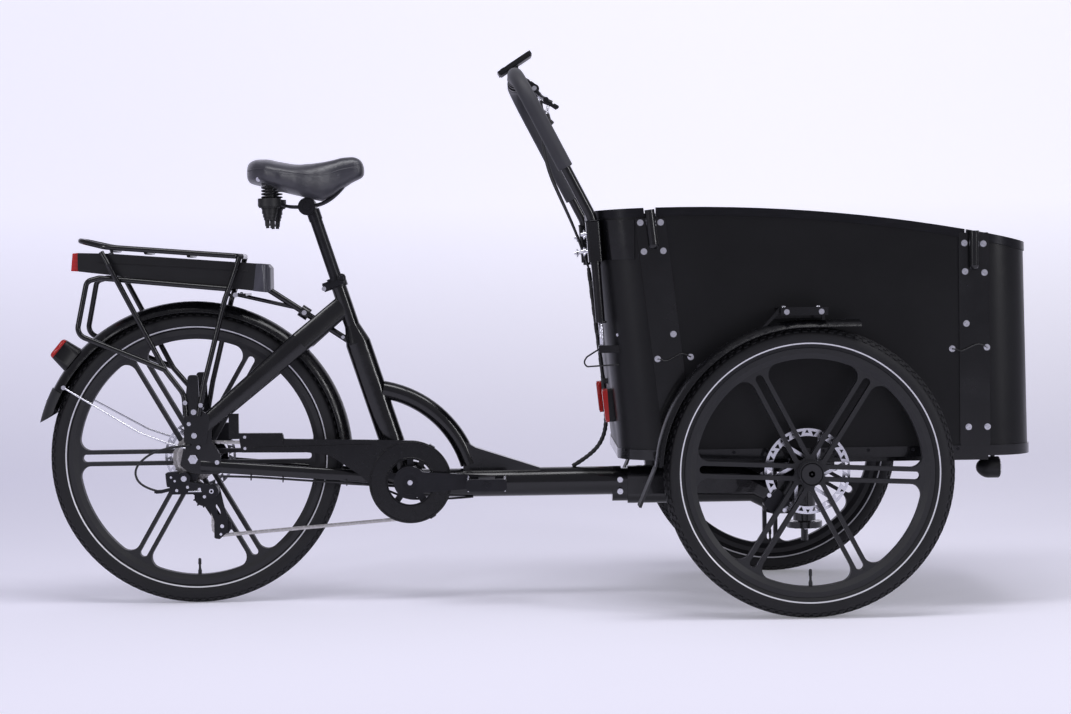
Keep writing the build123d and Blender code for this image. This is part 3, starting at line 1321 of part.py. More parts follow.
# ---------------------------------------------------------------- lights of the steered unit
headlamp_diameter = 48.0
headlamp_z = 275.0
lamp_back = front_x + 423
lamp_front = front_x + 472
lamp_edge = headlamp_z + headlamp_diameter / 2
with BuildPart() as headlamp:
    with BuildSketch(Plane.XZ):
        with BuildLine():
            Line((lamp_back, headlamp_z), (lamp_front, headlamp_z))
            Line((lamp_front, headlamp_z), (lamp_front, lamp_edge))
            Line((lamp_front, lamp_edge), (lamp_front - 20, lamp_edge))
            Spline((lamp_front - 20, lamp_edge), (lamp_back + 7, headlamp_z + 15), (lamp_back, headlamp_z),
                   tangents=[(-1, 0), (0, -1)])
        make_face()
    revolve(axis=Axis((front_x, 0, headlamp_z), (1, 0, 0)))
    with Locations((lamp_front - 12, 0, headlamp_z + 15)):
        Cylinder(5, box_bottom - rim_lip - headlamp_z - 15, align=(Align.CENTER, Align.CENTER, Align.MIN))
save(headlamp.part, "headlamp")

def back_face(y, z):
    """A plane on the outside of the box's back panel at a height, with its own up along the panel."""
    x = front_x + box_back_top + back_run * (box_top - z) / (box_top - box_bottom)
    return Plane(origin=(x, y, z), x_dir=(0, -1, 0), z_dir=(box_bottom - box_top, 0, -back_run))


reflector_depth = 20.0
with BuildPart() as box_reflectors:
    for y in (-185, 185):
        with BuildSketch(back_face(y, 439)):
            RectangleRounded(32, 72, 6)
    extrude(amount=reflector_depth)
save(box_reflectors.part, "box_reflectors")


# ---------------------------------------------------------------- cables
def cable(name, points, diameter):
    """A bent cord along its own route: straight runs joined by tangent arcs as wide as the runs allow."""
    runs = [(Vector(*b) - Vector(*a)) for a, b in zip(points, points[1:])]
    radii = [0.45 * min(a.length, b.length) / tan(radians(a.get_angle(b)) / 2)
             for a, b in zip(runs, runs[1:])]
    cord = bent_tube(points, radii, diameter)
    section = pi * diameter ** 2 / 4
    print(name, "length", round(cord.volume / section), "smallest radius", round(min(radii)))
    return cord


cable_diameter = 5.0
conduit_diameter = 10.0
joint_x, joint_z = front_x - 409.5, 466.0
conduit_gap = 0.5
conduit_top_x = front_x - 440.5
clip_heights = (700, 590, 482)

# The corrugated conduit hangs between the back of the box and the boom and bends as the box steers.
steering_conduit = cable("steering_conduit", [
    (joint_x + 0.1 * conduit_gap, 0, joint_z - conduit_gap), (front_x - 405, 0, 421), (front_x - 408, 0, 362),
    (front_x - 437, 0, 318), (front_x - 483, 0, sleeve_top + 1)], conduit_diameter)
save(steering_conduit - main_frame.part, "steering_conduit")

# Above it the same conduit is clipped to the panel, and a cable leads to it from each brake lever.
with BuildPart() as control_cables:
    add(cable("clipped_conduit", [
        (conduit_top_x, 0, 735), (front_x - 434, 0, 676), (front_x - 425, 0, 600), (front_x - 415, 0, 521),
        (joint_x, 0, joint_z)], conduit_diameter))
    for side in (-1, 1):
        add(cable("lever_cable", [
            (bar_top_x + 54, side * lever_y, 1120), (bar_top_x + 62, side * 98, 1072),
            (bar_top_x + 60, side * 84, 1010), (bar_top_x + 74, side * 66, 948),
            (bar_top_x + 98, side * 46, 892), (bar_top_x + 122, side * 27, 838),
            (bar_top_x + 142, side * 13, 786), (conduit_top_x, side * 2.7, 735.5)], cable_diameter))
    add(both_sides(brake_lever.part), mode=Mode.SUBTRACT)
with BuildPart() as cable_clips:
    for height in clip_heights:
        with BuildSketch(back_face(0, height)):
            Rectangle(22, 12)
        extrude(amount=14)
    add(control_cables.part, mode=Mode.SUBTRACT)
save(control_cables.part + cable_clips.part, "control_cables")

# A sprung wire from the foot of the strut back to the corner of the panel.
hook_y = -bar_half_width
hook = bent_tube([(front_x - 422.5, hook_y, 566), (front_x - 455, hook_y, 546), (front_x - 463, hook_y, 534),
                  (front_x - 455, hook_y, 525), (front_x - 380, hook_y, 529)], [12, 10, 6], 3.5)
save(largest(hook - strut_rod.part - box_back), "box_hook")

# The gear cable loops behind the dropout into the derailleur, and the motor cable runs from the boom along
# the underside of the right chain stay.
with BuildPart() as gear_cable:
    add(cable("gear_cable", [
        (rear_x - 6, -82, 358), (rear_x - 53, -85, 354), (rear_x - 101, -88, 338), (rear_x - 132, -89, 303),
        (rear_x - 113, -88, 266), barrel_end], cable_diameter))
    add(cable("stay_cable", [
        (rear_x + 615, -12, 228), (rear_x + 565, -14, 224), (rear_x + 500, -18, 225.5),
        (rear_x + 470, -22, 226), (rear_x + 430, -27, 244), (rear_x + 395, -31, 259),
        (rear_x + 335, -37, 266), (rear_x + 265, -47.5, 271.5), (rear_x + 195, -54.7, 278),
        (rear_x + 125, -61, 284.5),
        (rear_x + 62, -68, 287)], cable_diameter))
    for piece in (main_frame, rear_bracket, dropout, chain_stay, derailleur):
        add(piece.part, mode=Mode.SUBTRACT)
save(gear_cable.part, "gear_cable")
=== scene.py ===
import bpy
from math import asin, atan2, copysign, cos, hypot, pi, radians, sin
from mathutils import Euler, Matrix, Vector


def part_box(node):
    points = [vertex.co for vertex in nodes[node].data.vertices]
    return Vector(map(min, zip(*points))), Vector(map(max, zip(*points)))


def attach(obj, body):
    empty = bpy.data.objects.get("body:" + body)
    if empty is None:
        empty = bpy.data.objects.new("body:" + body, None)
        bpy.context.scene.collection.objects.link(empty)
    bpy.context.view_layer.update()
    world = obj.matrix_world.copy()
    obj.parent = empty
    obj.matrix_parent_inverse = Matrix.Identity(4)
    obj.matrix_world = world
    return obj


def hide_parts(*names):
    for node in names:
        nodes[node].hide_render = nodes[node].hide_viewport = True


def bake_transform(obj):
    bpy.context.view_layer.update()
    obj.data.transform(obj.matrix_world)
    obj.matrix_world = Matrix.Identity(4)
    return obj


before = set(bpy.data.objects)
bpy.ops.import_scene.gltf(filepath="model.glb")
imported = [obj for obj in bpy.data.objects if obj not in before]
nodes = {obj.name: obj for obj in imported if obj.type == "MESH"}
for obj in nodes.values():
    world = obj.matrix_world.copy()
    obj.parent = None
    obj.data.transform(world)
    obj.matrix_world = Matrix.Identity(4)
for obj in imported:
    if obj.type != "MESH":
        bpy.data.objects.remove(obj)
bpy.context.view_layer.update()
scene = bpy.context.scene


# ---------------------------------------------------------------- Viewpoint
# A camera at a rider's chest height, square to the right side and five and a half metres away, so that the
# wheels stay round and only a little of the far front wheel shows through the near one.
camera_data = bpy.data.cameras.new("camera")
camera_data.lens = 82.5
camera_data.sensor_width = 36
camera_data.clip_end = 100
camera = bpy.data.objects.new("camera", camera_data)
yaw, pitch, roll = radians(-0.54), radians(-2.12), radians(-0.86)
spot = (-0.0253, -5.4864, 0.7408)
ahead = Vector((-sin(yaw) * cos(pitch), cos(yaw) * cos(pitch), sin(pitch)))
right = Vector((cos(yaw), sin(yaw), 0))
above = right.cross(ahead)
camera_right = right * cos(roll) + above * sin(roll)
camera_up = above * cos(roll) - right * sin(roll)
camera.matrix_world = Matrix((*zip(camera_right, camera_up, -ahead, spot), (0, 0, 0, 1)))
scene.collection.objects.link(camera)
scene.camera = camera
scene.view_settings.view_transform = "Standard"


# ---------------------------------------------------------------- Studio
# A pale paper sweep under soft light: a floor that turns up into a wall behind, one large overhead softbox,
# and two tall side ones that draw thin lines of light along the gloss tubes.
def paint(hex_colour):
    """The linear colour of an sRGB hex value."""
    channels = [int(hex_colour[i:i + 2], 16) / 255 for i in (1, 3, 5)]
    return tuple(c / 12.92 if c <= 0.04045 else ((c + 0.055) / 1.055) ** 2.4 for c in channels) + (1,)


def node(material, kind, inputs=None, **settings):
    """Adds a node to a material or world, with its settings, and its inputs by name or number."""
    made = material.node_tree.nodes.new(kind)
    for key, value in settings.items():
        setattr(made, key, value)
    for key, value in (inputs or {}).items():
        if isinstance(value, bpy.types.NodeSocket):
            material.node_tree.links.new(value, made.inputs[key])
        else:
            made.inputs[key].default_value = value
    return made


def blank(name):
    """A new material with no more than its output, and where a point of it is in its object's space."""
    material = bpy.data.materials.new(name)
    material.use_nodes = True
    material.node_tree.nodes.clear()
    material.node_tree.nodes.new("ShaderNodeOutputMaterial")
    return material, node(material, "ShaderNodeTexCoord").outputs["Object"]


def show(material, shader):
    """Ends a material with a shader."""
    surface = material.node_tree.get_output_node("ALL").inputs["Surface"]
    material.node_tree.links.new(shader.outputs[0], surface)


def ramp(material, value, low, high, start=0.0, end=1.0):
    """A value from start to end, brought to a range from low to high."""
    return node(material, "ShaderNodeMapRange", {0: value, 1: start, 2: end, 3: low, 4: high}).outputs[0]


def between(material, share, first, second):
    """A colour a share of the way from one hex value to another."""
    colours = {0: share, 6: paint(first), 7: paint(second)}
    return node(material, "ShaderNodeMix", colours, data_type="RGBA").outputs[2]


def mode(name):
    bpy.ops.object.mode_set(mode=name)


def pick(piece, kind, chosen):
    """Opens a piece for editing with only those vertices, edges or faces selected that a test chooses."""
    mode("EDIT")
    bpy.ops.mesh.select_mode(type=kind)
    bpy.ops.mesh.select_all(action="DESELECT")
    mode("OBJECT")
    for part in {"VERT": piece.data.vertices, "EDGE": piece.data.edges, "FACE": piece.data.polygons}[kind]:
        part.select = chosen(part)
    mode("EDIT")


def primitive(kind, **settings):
    """Adds a mesh primitive with nothing else selected."""
    bpy.ops.object.select_all(action="DESELECT")
    getattr(bpy.ops.mesh, f"primitive_{kind}_add")(**settings)
    return bpy.context.object


def settle():
    """Applies the place and turn of the active object to its mesh."""
    bpy.ops.object.transform_apply(location=True, rotation=True)


sweep = primitive("plane", size=16, location=(0, -2.5, 0))
sweep.name = "paper_sweep"
pick(sweep, "EDGE", lambda edge: all(sweep.data.vertices[i].co.y > 7 for i in edge.vertices))
bpy.ops.mesh.extrude_region_move(TRANSFORM_OT_translate={"value": (0, 0, 6)})
mode("OBJECT")
turn_up = sweep.modifiers.new("turn_up", "BEVEL")
turn_up.width = 2.2
turn_up.segments = 24
bpy.ops.object.modifier_apply(modifier="turn_up")
bpy.ops.object.shade_smooth()
settle()
paper, place = blank("matt_studio_paper")
along = node(paper, "ShaderNodeSeparateXYZ", {0: place}).outputs
# the paper also glows with painted light: a painted glow that grows brighter up the wall and a little
# brighter and whiter towards +X
painted_glow_tint = node(paper, "ShaderNodeMapRange", {0: along["X"], 1: -2.2, 2: 1.6}, interpolation_type="SMOOTHSTEP")
lit = node(paper, "ShaderNodeBsdfDiffuse", {"Color": paint("#dedcea")})
painted_glow = node(paper, "ShaderNodeEmission", {"Color": between(paper, painted_glow_tint.outputs[0], "#f0f0fd", "#fbfbff"),
    "Strength": ramp(paper, along["Z"], 0.20, 0.58)})
both = node(paper, "ShaderNodeAddShader", {0: lit.outputs[0], 1: painted_glow.outputs[0]})
# the wall can be looked through from behind, so that it never stands before the bike
behind = node(paper, "ShaderNodeNewGeometry").outputs["Backfacing"]
through = node(paper, "ShaderNodeBsdfTransparent")
show(paper, node(paper, "ShaderNodeMixShader", {0: behind, 1: both.outputs[0], 2: through.outputs[0]}))
sweep.data.materials.append(paper)

world = bpy.data.worlds.new("studio")
world.use_nodes = True
world.node_tree.nodes["Background"].inputs["Color"].default_value = paint("#eceafa")
world.node_tree.nodes["Background"].inputs["Strength"].default_value = 0.36
scene.world = world
softboxes = (("overhead_softbox", (0.2, -0.9, 3.2), (0, 0, 0.3), 3.2, 0.9, 54),
    ("left_softbox", (-3.2, -3.4, 1.9), (-0.4, 0, 0.5), 0.5, 2.2, 32),
    ("right_softbox", (3.4, -3.0, 2.0), (0.5, 0, 0.5), 0.6, 2.2, 44))
for name, spot, aim, width, height, power in softboxes:
    lamp_data = bpy.data.lights.new(name, "AREA")
    lamp_data.shape = "RECTANGLE"
    lamp_data.size = width
    lamp_data.size_y = height
    lamp_data.energy = power
    lamp_data.color = (0.97, 0.97, 1.0)
    lamp = bpy.data.objects.new(name, lamp_data)
    lamp.location = spot
    lamp.rotation_euler = (Vector(aim) - Vector(spot)).to_track_quat("-Z", "Y").to_euler()
    scene.collection.objects.link(lamp)


# ---------------------------------------------------------------- Cables
# Round black PVC outers about a steel wire, which hang in soft curves between the places that hold them, and
# one corrugated nylon conduit that bends behind the box as it steers.
def bottom(name):
    return Vector(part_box(name)[0])


def top(name):
    return Vector(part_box(name)[1])


rear_axle = (bottom("rear_tyre") + top("rear_tyre")) / 2
right_hub = (bottom("front_tyre_right") + top("front_tyre_right")) / 2
rear_x, rear_z = rear_axle.x, rear_axle.z
front_x, front_z = right_hub.x, right_hub.z
sides = ((-1, "right"), (1, "left"))


def noise(material, place, scale, detail):
    values = {"Vector": place, "Scale": scale, "Detail": detail}
    return node(material, "ShaderNodeTexNoise", values).outputs[0]


def principled(material, values):
    """Ends a material with the one shader that most of them have."""
    show(material, node(material, "ShaderNodeBsdfPrincipled", values))


pvc, place = blank("extruded_black_pvc")
# a cable outer is smooth but never even: broad dull patches where hands and dust have been
wear = noise(pvc, place, 40.0, 4.0)
dull = ramp(pvc, wear, 0.3, 0.52)
principled(pvc, {"Base Color": paint("#141416"), "Roughness": dull})


def only(*objects):
    """Selects these objects alone and makes the first one active."""
    bpy.ops.object.select_all(action="DESELECT")
    for obj in objects:
        obj.select_set(True)
    bpy.context.view_layer.objects.active = objects[0]


def cable_curve(name, points, diameter):
    """A round cable on one smooth line led by points, in metres in the frame."""
    curve = bpy.data.curves.new(name, "CURVE")
    curve.dimensions = "3D"
    curve.bevel_depth = diameter / 2
    curve.bevel_resolution = 4
    curve.resolution_u = 8
    curve.use_fill_caps = True
    line = curve.splines.new("NURBS")
    line.points.add(len(points) - 1)
    for point, (x, y, z) in zip(line.points, points):
        point.co = (x, y, z, 1)
    line.order_u = 3
    line.use_endpoint_u = True
    piece = bpy.data.objects.new(name, curve)
    scene.collection.objects.link(piece)
    return piece


def smooth_line(piece):
    """The points that a cable's smooth line runs through, in order."""
    depth = piece.data.bevel_depth
    piece.data.bevel_depth = 0
    piece.data.use_fill_caps = False
    bpy.context.view_layer.update()
    mesh = bpy.data.meshes.new_from_object(piece.evaluated_get(bpy.context.evaluated_depsgraph_get()))
    points = [vertex.co.copy() for vertex in mesh.vertices]
    bpy.data.meshes.remove(mesh)
    piece.data.bevel_depth = depth
    piece.data.use_fill_caps = True
    return points


def run_length(points):
    return sum((b - a).length for a, b in zip(points, points[1:]))


def from_axle(axle_x, points):
    """Points given in millimetres from an axle and the floor, as metres in the frame."""
    return [(axle_x + x / 1000, y / 1000, z / 1000) for x, y, z in points]


def smooth_cord(name, points, diameter, body, stiffness, *stands_for):
    """A free cord along a smooth line, made a mesh on its body."""
    cable = cable_curve(name, points, diameter)
    cable.data.materials.append(pvc)
    if stands_for:
        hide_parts(*stands_for)
    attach(cable, body)
    line = smooth_line(cable)
    only(cable)
    bpy.ops.object.convert(target="MESH")


gear_cable = {"gear_cable_loop": ((-6, -82, 358), (-53, -85, 354), (-101, -88, 338), (-132, -89, 303),
    (-113, -88, 266), (-72, -86.5, 256.5)), "stay_cable": ((615, -12, 228), (565, -14, 224),
    (500, -18, 225.5), (470, -22, 226), (430, -27, 244), (395, -31, 259), (335, -37, 266),
    (265, -47.5, 271.5), (195, -54.7, 278), (125, -61, 284.5), (62, -68, 287))}
for name, points in gear_cable.items():
    smooth_cord(name, from_axle(rear_x, points), 0.005, "frame", "stiff", "gear_cable")
lever_run = ((-545, 100, 1120), (-537, 98, 1072), (-539, 84, 1010), (-525, 66, 948), (-501, 46, 892),
    (-477, 27, 838), (-457, 13, 786), (-440.5, 2.7, 735.5))
for side, end in sides:
    points = from_axle(front_x, [(x, side * y, z) for x, y, z in lever_run])
    smooth_cord(f"lever_cable_{end}", points, 0.005, "front_unit", "stiff", "control_cables")

# The conduit is a corrugated tube: its ridges, one every 2.5 mm, let it bend without kinking. It stands in
# two pieces, one clipped to the panel and one that bends between box and boom.
nylon, place = blank("corrugated_black_nylon")
haze = noise(nylon, place, 90.0, 3.0)
satin = ramp(nylon, haze, 0.38, 0.6)
principled(nylon, {"Base Color": paint("#121214"), "Roughness": satin})
ridge = 0.0025


def smooth_by(angle):
    bpy.ops.object.shade_smooth_by_angle(angle=radians(angle))


def corrugated(name, stands_for, points):
    """A ridged tube bent along a cable's smooth line; gives the piece and the points of that line."""
    guide = cable_curve(name + "_line", from_axle(front_x, points), 0.01)
    line = smooth_line(guide)
    guide.data.bevel_depth = 0
    length = run_length(line)
    rings = int(length / ridge)
    tube = primitive("cylinder", vertices=14, radius=0.0043, depth=length, end_fill_type="NGON",
        location=(length / 2, 0, 0), rotation=(0, pi / 2, 0))
    tube.name = name
    settle()
    corners = tube.data.vertices
    pick(tube, "EDGE", lambda edge: length / 2 < abs(corners[edge.vertices[0]].co.x
        - corners[edge.vertices[1]].co.x))
    bpy.ops.mesh.subdivide(number_cuts=2 * rings - 1)
    pick(tube, "VERT", lambda vertex: round(vertex.co.x / length * 2 * rings) % 2 == 1)
    bpy.ops.transform.resize(value=(1, 1.16, 1.16), center_override=(0, 0, 0))
    mode("OBJECT")
    bend = tube.modifiers.new("bend", "CURVE")
    bend.object = guide
    bpy.ops.object.modifier_apply(modifier="bend")
    bpy.data.objects.remove(guide)
    smooth_by(50)
    tube.data.materials.append(nylon)
    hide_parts(stands_for)
    return tube, line


clipped_conduit = corrugated("clipped_conduit", "control_cables",
    [(-440.5, 0, 735), (-434, 0, 676), (-425, 0, 600), (-415, 0, 521), (-409.5, 0, 466)])[0]
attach(clipped_conduit, "front_unit")
bending_conduit, line = corrugated("bending_conduit", "steering_conduit",
    [(-409.5, 0, 465.5), (-405, 0, 421), (-408, 0, 362), (-437, 0, 318), (-483, 0, 292)])
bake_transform(bending_conduit)

# Three black nylon clips hold the upper conduit on the panel: each a strap over it with two screwed ears.
back_run, back_rise, back_top = 0.0548, 0.527, front_x - 0.441


def back_x(z):
    """Where the outside of the box's leaning back panel is at a height."""
    return back_top + back_run * (0.861 - z) / back_rise


def join(pieces, name):
    """Joins mesh objects into one, with that name."""
    only(*pieces)
    if len(pieces) > 1:
        bpy.ops.object.join()
    joined = bpy.context.object
    joined.name = name
    joined.data.name = name
    return joined


def fit(piece, material, body, *stands_for):
    """Gives a finished piece its material and the body it rides on, and hides the nodes that it stands for.
    """
    piece.data.materials.clear()
    piece.data.materials.append(material)
    if stands_for:
        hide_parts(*stands_for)
    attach(piece, body)
    return piece


def block(size, middle, bevel=0.0008, segments=2, turn=None):
    """A box with softened edges at a place, sizes and place in metres."""
    made = primitive("cube", size=1, location=middle, rotation=turn or (0, 0, 0))
    made.scale = size
    bpy.ops.object.transform_apply(location=False, rotation=False, scale=True)
    if bevel:
        soften = made.modifiers.new("edges", "BEVEL")
        soften.width = bevel
        soften.segments = segments
        bpy.ops.object.modifier_apply(modifier="edges")
    settle()
    smooth_by(35)
    return made


def facing(way):
    """The turn that takes +Z to a direction."""
    return Vector(way).to_track_quat("Z", "Y").to_euler()


def turned(radius, length, start, way, sides, *steps):
    """A turned pin from a start along a direction; steps are (inset, out) pairs worked on its far end."""
    way = Vector(way).normalized()
    made = primitive("cylinder", vertices=sides, radius=radius, depth=length,
        location=Vector(start) + way * length / 2, rotation=facing(way))
    settle()
    far_end = max(face.center.dot(way) for face in made.data.polygons)
    pick(made, "FACE", lambda face: face.center.dot(way) == far_end)
    for inset, out in steps:
        if inset > 0:
            bpy.ops.mesh.inset(thickness=inset)
        else:
            bpy.ops.mesh.inset(thickness=-inset, use_outset=True)
        if out:
            bpy.ops.mesh.extrude_region_move(TRANSFORM_OT_translate={"value": way * out})
    mode("OBJECT")
    smooth_by(35)
    return made


clips = []
for height in (0.700, 0.590, 0.482):
    spot = back_x(height)
    strap = block((0.013, 0.013, 0.012), (spot - 0.0062, 0, height), 0.003, 4)
    ears = [block((0.0025, 0.009, 0.012), (spot - 0.0013, side * 0.0103, height), 0.001) for side in (-1, 1)]
    screws = [turned(0.0026, 0.0012, (spot - 0.0025, side * 0.0106, height), (-1, 0, 0), 16, (0.0006, 0.0007),
        (0.0008, -0.0006)) for side in (-1, 1)]
    clips += [strap, *ears, *screws]
fit(join(clips, "conduit_clips"), nylon, "front_unit", "control_cables")


def stretched(material, place, scale):
    return node(material, "ShaderNodeMapping", {"Vector": place, "Scale": scale}).outputs[0]


def bump(material, height, strength, distance, under=None):
    """A bump of a real height in metres, on top of another where one is given."""
    values = {"Height": height, "Strength": strength, "Distance": distance}
    return node(material, "ShaderNodeBump", {**values, "Normal": under} if under else values).outputs[0]


def worn(name, colours, roughness, wear, grain=None, more=None, stretch=None):
    """A material: one noise, its wear, moves colour and roughness, and another, its grain, makes a bump."""
    material, place = blank(name)
    share = noise(material, stretched(material, place, stretch) if stretch else place, *wear)
    values = {"Base Color": between(material, share, *colours),
        "Roughness": ramp(material, share, *roughness)}
    if grain:
        scale, detail, strength, height = grain
        values["Normal"] = bump(material, noise(material, place, scale, detail), strength, height)
    principled(material, {**values, **(more or {})})
    return material


def dress(material, *names):
    """Gives CAD nodes a material."""
    for name in names:
        nodes[name].data.materials.clear()
        nodes[name].data.materials.append(material)


# the coat flows out into a faint orange peel, waves 2 mm apart, which breaks up the long reflections
coat = worn("gloss_black_powder_coat", ("#060608", "#0d0d10"), (0.13, 0.3, 0.3, 0.75),
    (14.0, 5.0), (420.0, 2.0, 0.25, 0.0002), {"Specular IOR Level": 0.35, "Coat Weight": 0.35,
    "Coat Roughness": 0.05})
dress(coat, "main_frame", "rear_stays", "dropouts", "rack_deck", "rack_legs", "rack_strut", "front_chassis",
    "handlebar", "handlebar_mounts", "corner_strips", "box_rim", "mudguard_brackets", "leg_strut")

# fine turning and polishing marks, drawn 1 mm apart so that they show
steel = worn("bright_stainless_steel", ("#d2d2da", "#f0f0f6"), (0.12, 0.30), (160.0, 6.0),
    more={"Metallic": 1.0}, stretch=(1.0, 1.0, 12.0))
dress(steel, "rear_mudguard_stays", "rear_axle")

# Clamp bolts of the sleeve, the pinch bolt under it and the bolts that hold the rack and its brackets: domed
# stainless screws with a socket, their heads turned and polished.
heads = []
for x, y, z, radius in ((front_x - 0.378, -0.030, 0.262, 0.0065), (front_x - 0.378, -0.030, 0.236, 0.0065),
        (front_x - 0.378, 0.030, 0.262, 0.0065), (front_x - 0.378, 0.030, 0.236, 0.0065),
        (rear_x + 0.003, -0.0787, rear_z + 0.104, 0.0062), (rear_x + 0.003, -0.0787, rear_z + 0.052, 0.0062),
        (rear_x - 0.008, -0.0787, rear_z + 0.078, 0.0045), (rear_x + 0.012, -0.0787, rear_z + 0.026, 0.0045),
        (rear_x + 0.003, 0.0787, rear_z + 0.104, 0.0062), (rear_x + 0.003, 0.0787, rear_z + 0.052, 0.0062),
        (rear_x + 0.052, -0.0737, rear_z - 0.008, 0.005), (rear_x + 0.040, 0.0737, rear_z - 0.008, 0.005)):
    heads.append(turned(radius, 0.0016, (x, y, z), (0, copysign(1, y), 0), 24, (radius * 0.1, 0.0014),
        (radius * 0.18, 0.0008), (radius * 0.22, -0.0018)))
fit(join(heads, "frame_screws"), steel, "frame")


# ---------------------------------------------------------------- Cast wheels
# One-piece aluminium castings with six double spokes, shot-blasted and coated in a dry matt black that has no
# mirror in it; the machined bead hooks and the slots between the bars show as soft edges.

# blasted skin under the paint, grains drawn 1.2 mm across, and broad cloudy differences in sheen
wheel_coat = worn("matt_black_coated_casting", ("#0e0e11", "#18181d"), (0.42, 0.62, 0.3, 0.7),
    (9.0, 4.0), (800.0, 3.0, 0.35, 0.0003))
dress(wheel_coat, "rear_wheel", "front_wheel_right", "front_wheel_left")

# anodising keeps the bead-blasted frost of the metal under it: a dark grey with a dull metallic light
black_alloy = worn("black_anodised_aluminium", ("#131316", "#242429"), (0.26, 0.46),
    (30.0, 5.0), (700.0, 2.0, 0.2, 0.0002), {"Metallic": 0.55})
dress(black_alloy, "crankset", "seat_post", "seat_clamp", "derailleur", "rear_brake_caliper",
    "front_calipers", "brake_levers", "pedal_right", "pedal_left", "saddle_frame")

# Each wheel's valve stands out of the rim bed at the bottom, a brass stem in a rubber boot with a ribbed cap,
# and each front wheel's hub is closed by a pressed cap over the axle's nut.
for body, x, y, z, bed in (("rear_wheel", rear_x, 0.0, rear_z, 0.2635),
        ("front_wheel_right", front_x, -0.4, front_z, 0.2375),
        ("front_wheel_left", front_x, 0.4, front_z, 0.2375)):
    foot = z - bed - 0.001
    boot = turned(0.0042, 0.010, (x, y, foot), (0, 0, 1), 20, (0.0008, 0.003))
    stem = turned(0.0027, 0.012, (x, y, foot + 0.012), (0, 0, 1), 16)
    cap = turned(0.0036, 0.011, (x, y, foot + 0.023), (0, 0, 1), 12, (0.0006, 0.002), (0.0008, 0.0006))
    fit(join([boot, stem, cap], body + "_valve"), pvc, body)
for side, end in sides:
    cap = turned(0.0235, 0.0015, (front_x, side * 0.4455, front_z), (0, side, 0), 40, (0.002, -0.0012),
        (0.003, 0.001))
    nut = turned(0.0085, 0.0015, (front_x, side * 0.4452, front_z), (0, side, 0), 6, (0.001, 0.0003),
        (0.0045, -0.0008))
    fit(join([cap], f"front_wheel_{end}_hub_cap"), black_alloy, f"front_wheel_{end}")
    fit(join([nut], f"front_wheel_{end}_axle_nut"), steel, f"front_wheel_{end}")


# ---------------------------------------------------------------- Tyres
# Moulded black rubber over a cord casing: small square tread blocks in staggered rows across the crown and
# a row along each shoulder, and a thin reflective line cured into both sidewalls.
def placed(spot, angle):
    """The matrix that turns a mesh about Y by an angle in radians and then moves it to a spot."""
    return Matrix.Translation(spot) @ Euler((0, angle, 0)).to_matrix().to_4x4()


def edit_all():
    """Opens the active piece for editing with all of it selected."""
    mode("EDIT")
    bpy.ops.mesh.select_all(action="SELECT")


def spun(count, middle):
    """Repeats the active piece to a full ring of copies about an axle."""
    edit_all()
    bpy.ops.mesh.spin(steps=count - 1, dupli=True, angle=2 * pi * (count - 1) / count, center=middle,
        axis=(0, 1, 0))
    mode("OBJECT")


def maths(material, operation, *values):
    return node(material, "ShaderNodeMath", dict(enumerate(values)), operation=operation).outputs[0]


def cellular(material, place, scale, feature="F1"):
    return node(material, "ShaderNodeTexVoronoi", {"Vector": place, "Scale": scale},
        feature=feature).outputs[0]


def tyre_rubber(name, axle_x, axle_z, line_radius):
    """Black tyre rubber with a silver line at a radius from the axle."""
    rubber, place = blank(name)
    from_axle_out = node(rubber, "ShaderNodeMapping", {"Vector": place, "Location": (-axle_x, 0, -axle_z)})
    flat = node(rubber, "ShaderNodeVectorMath", {0: from_axle_out.outputs[0], 1: (1, 0, 1)},
        operation="MULTIPLY")
    out = node(rubber, "ShaderNodeVectorMath", {0: flat.outputs[0]}, operation="LENGTH").outputs["Value"]
    # the sidewall carries fine moulded rings 1.6 mm apart
    rings = maths(rubber, "SINE", maths(rubber, "MULTIPLY", out, 2 * pi / 0.0016))
    chalk = noise(rubber, place, 60.0, 6.0)
    tone = between(rubber, chalk, "#0e0e10", "#1b1b1e")
    moulded = bump(rubber, chalk, 0.3, 0.0004, bump(rubber, rings, 0.12, 0.0002))
    black = node(rubber, "ShaderNodeBsdfPrincipled", {"Base Color": tone, "Normal": moulded,
        "Roughness": ramp(rubber, chalk, 0.5, 0.75), "Specular IOR Level": 0.35})
    beads = ramp(rubber, cellular(rubber, place, 900.0), 0.35, 0.6)
    silver = node(rubber, "ShaderNodeBsdfPrincipled", {"Base Color": paint("#d5d5da"), "Roughness": beads,
        "Metallic": 0.35})
    near = maths(rubber, "ABSOLUTE", maths(rubber, "SUBTRACT", out, line_radius))
    band = ramp(rubber, near, 1.0, 0.0, 0.0012, 0.0015)
    show(rubber, node(rubber, "ShaderNodeMixShader", {0: band, 1: black.outputs[0], 2: silver.outputs[0]}))
    return rubber


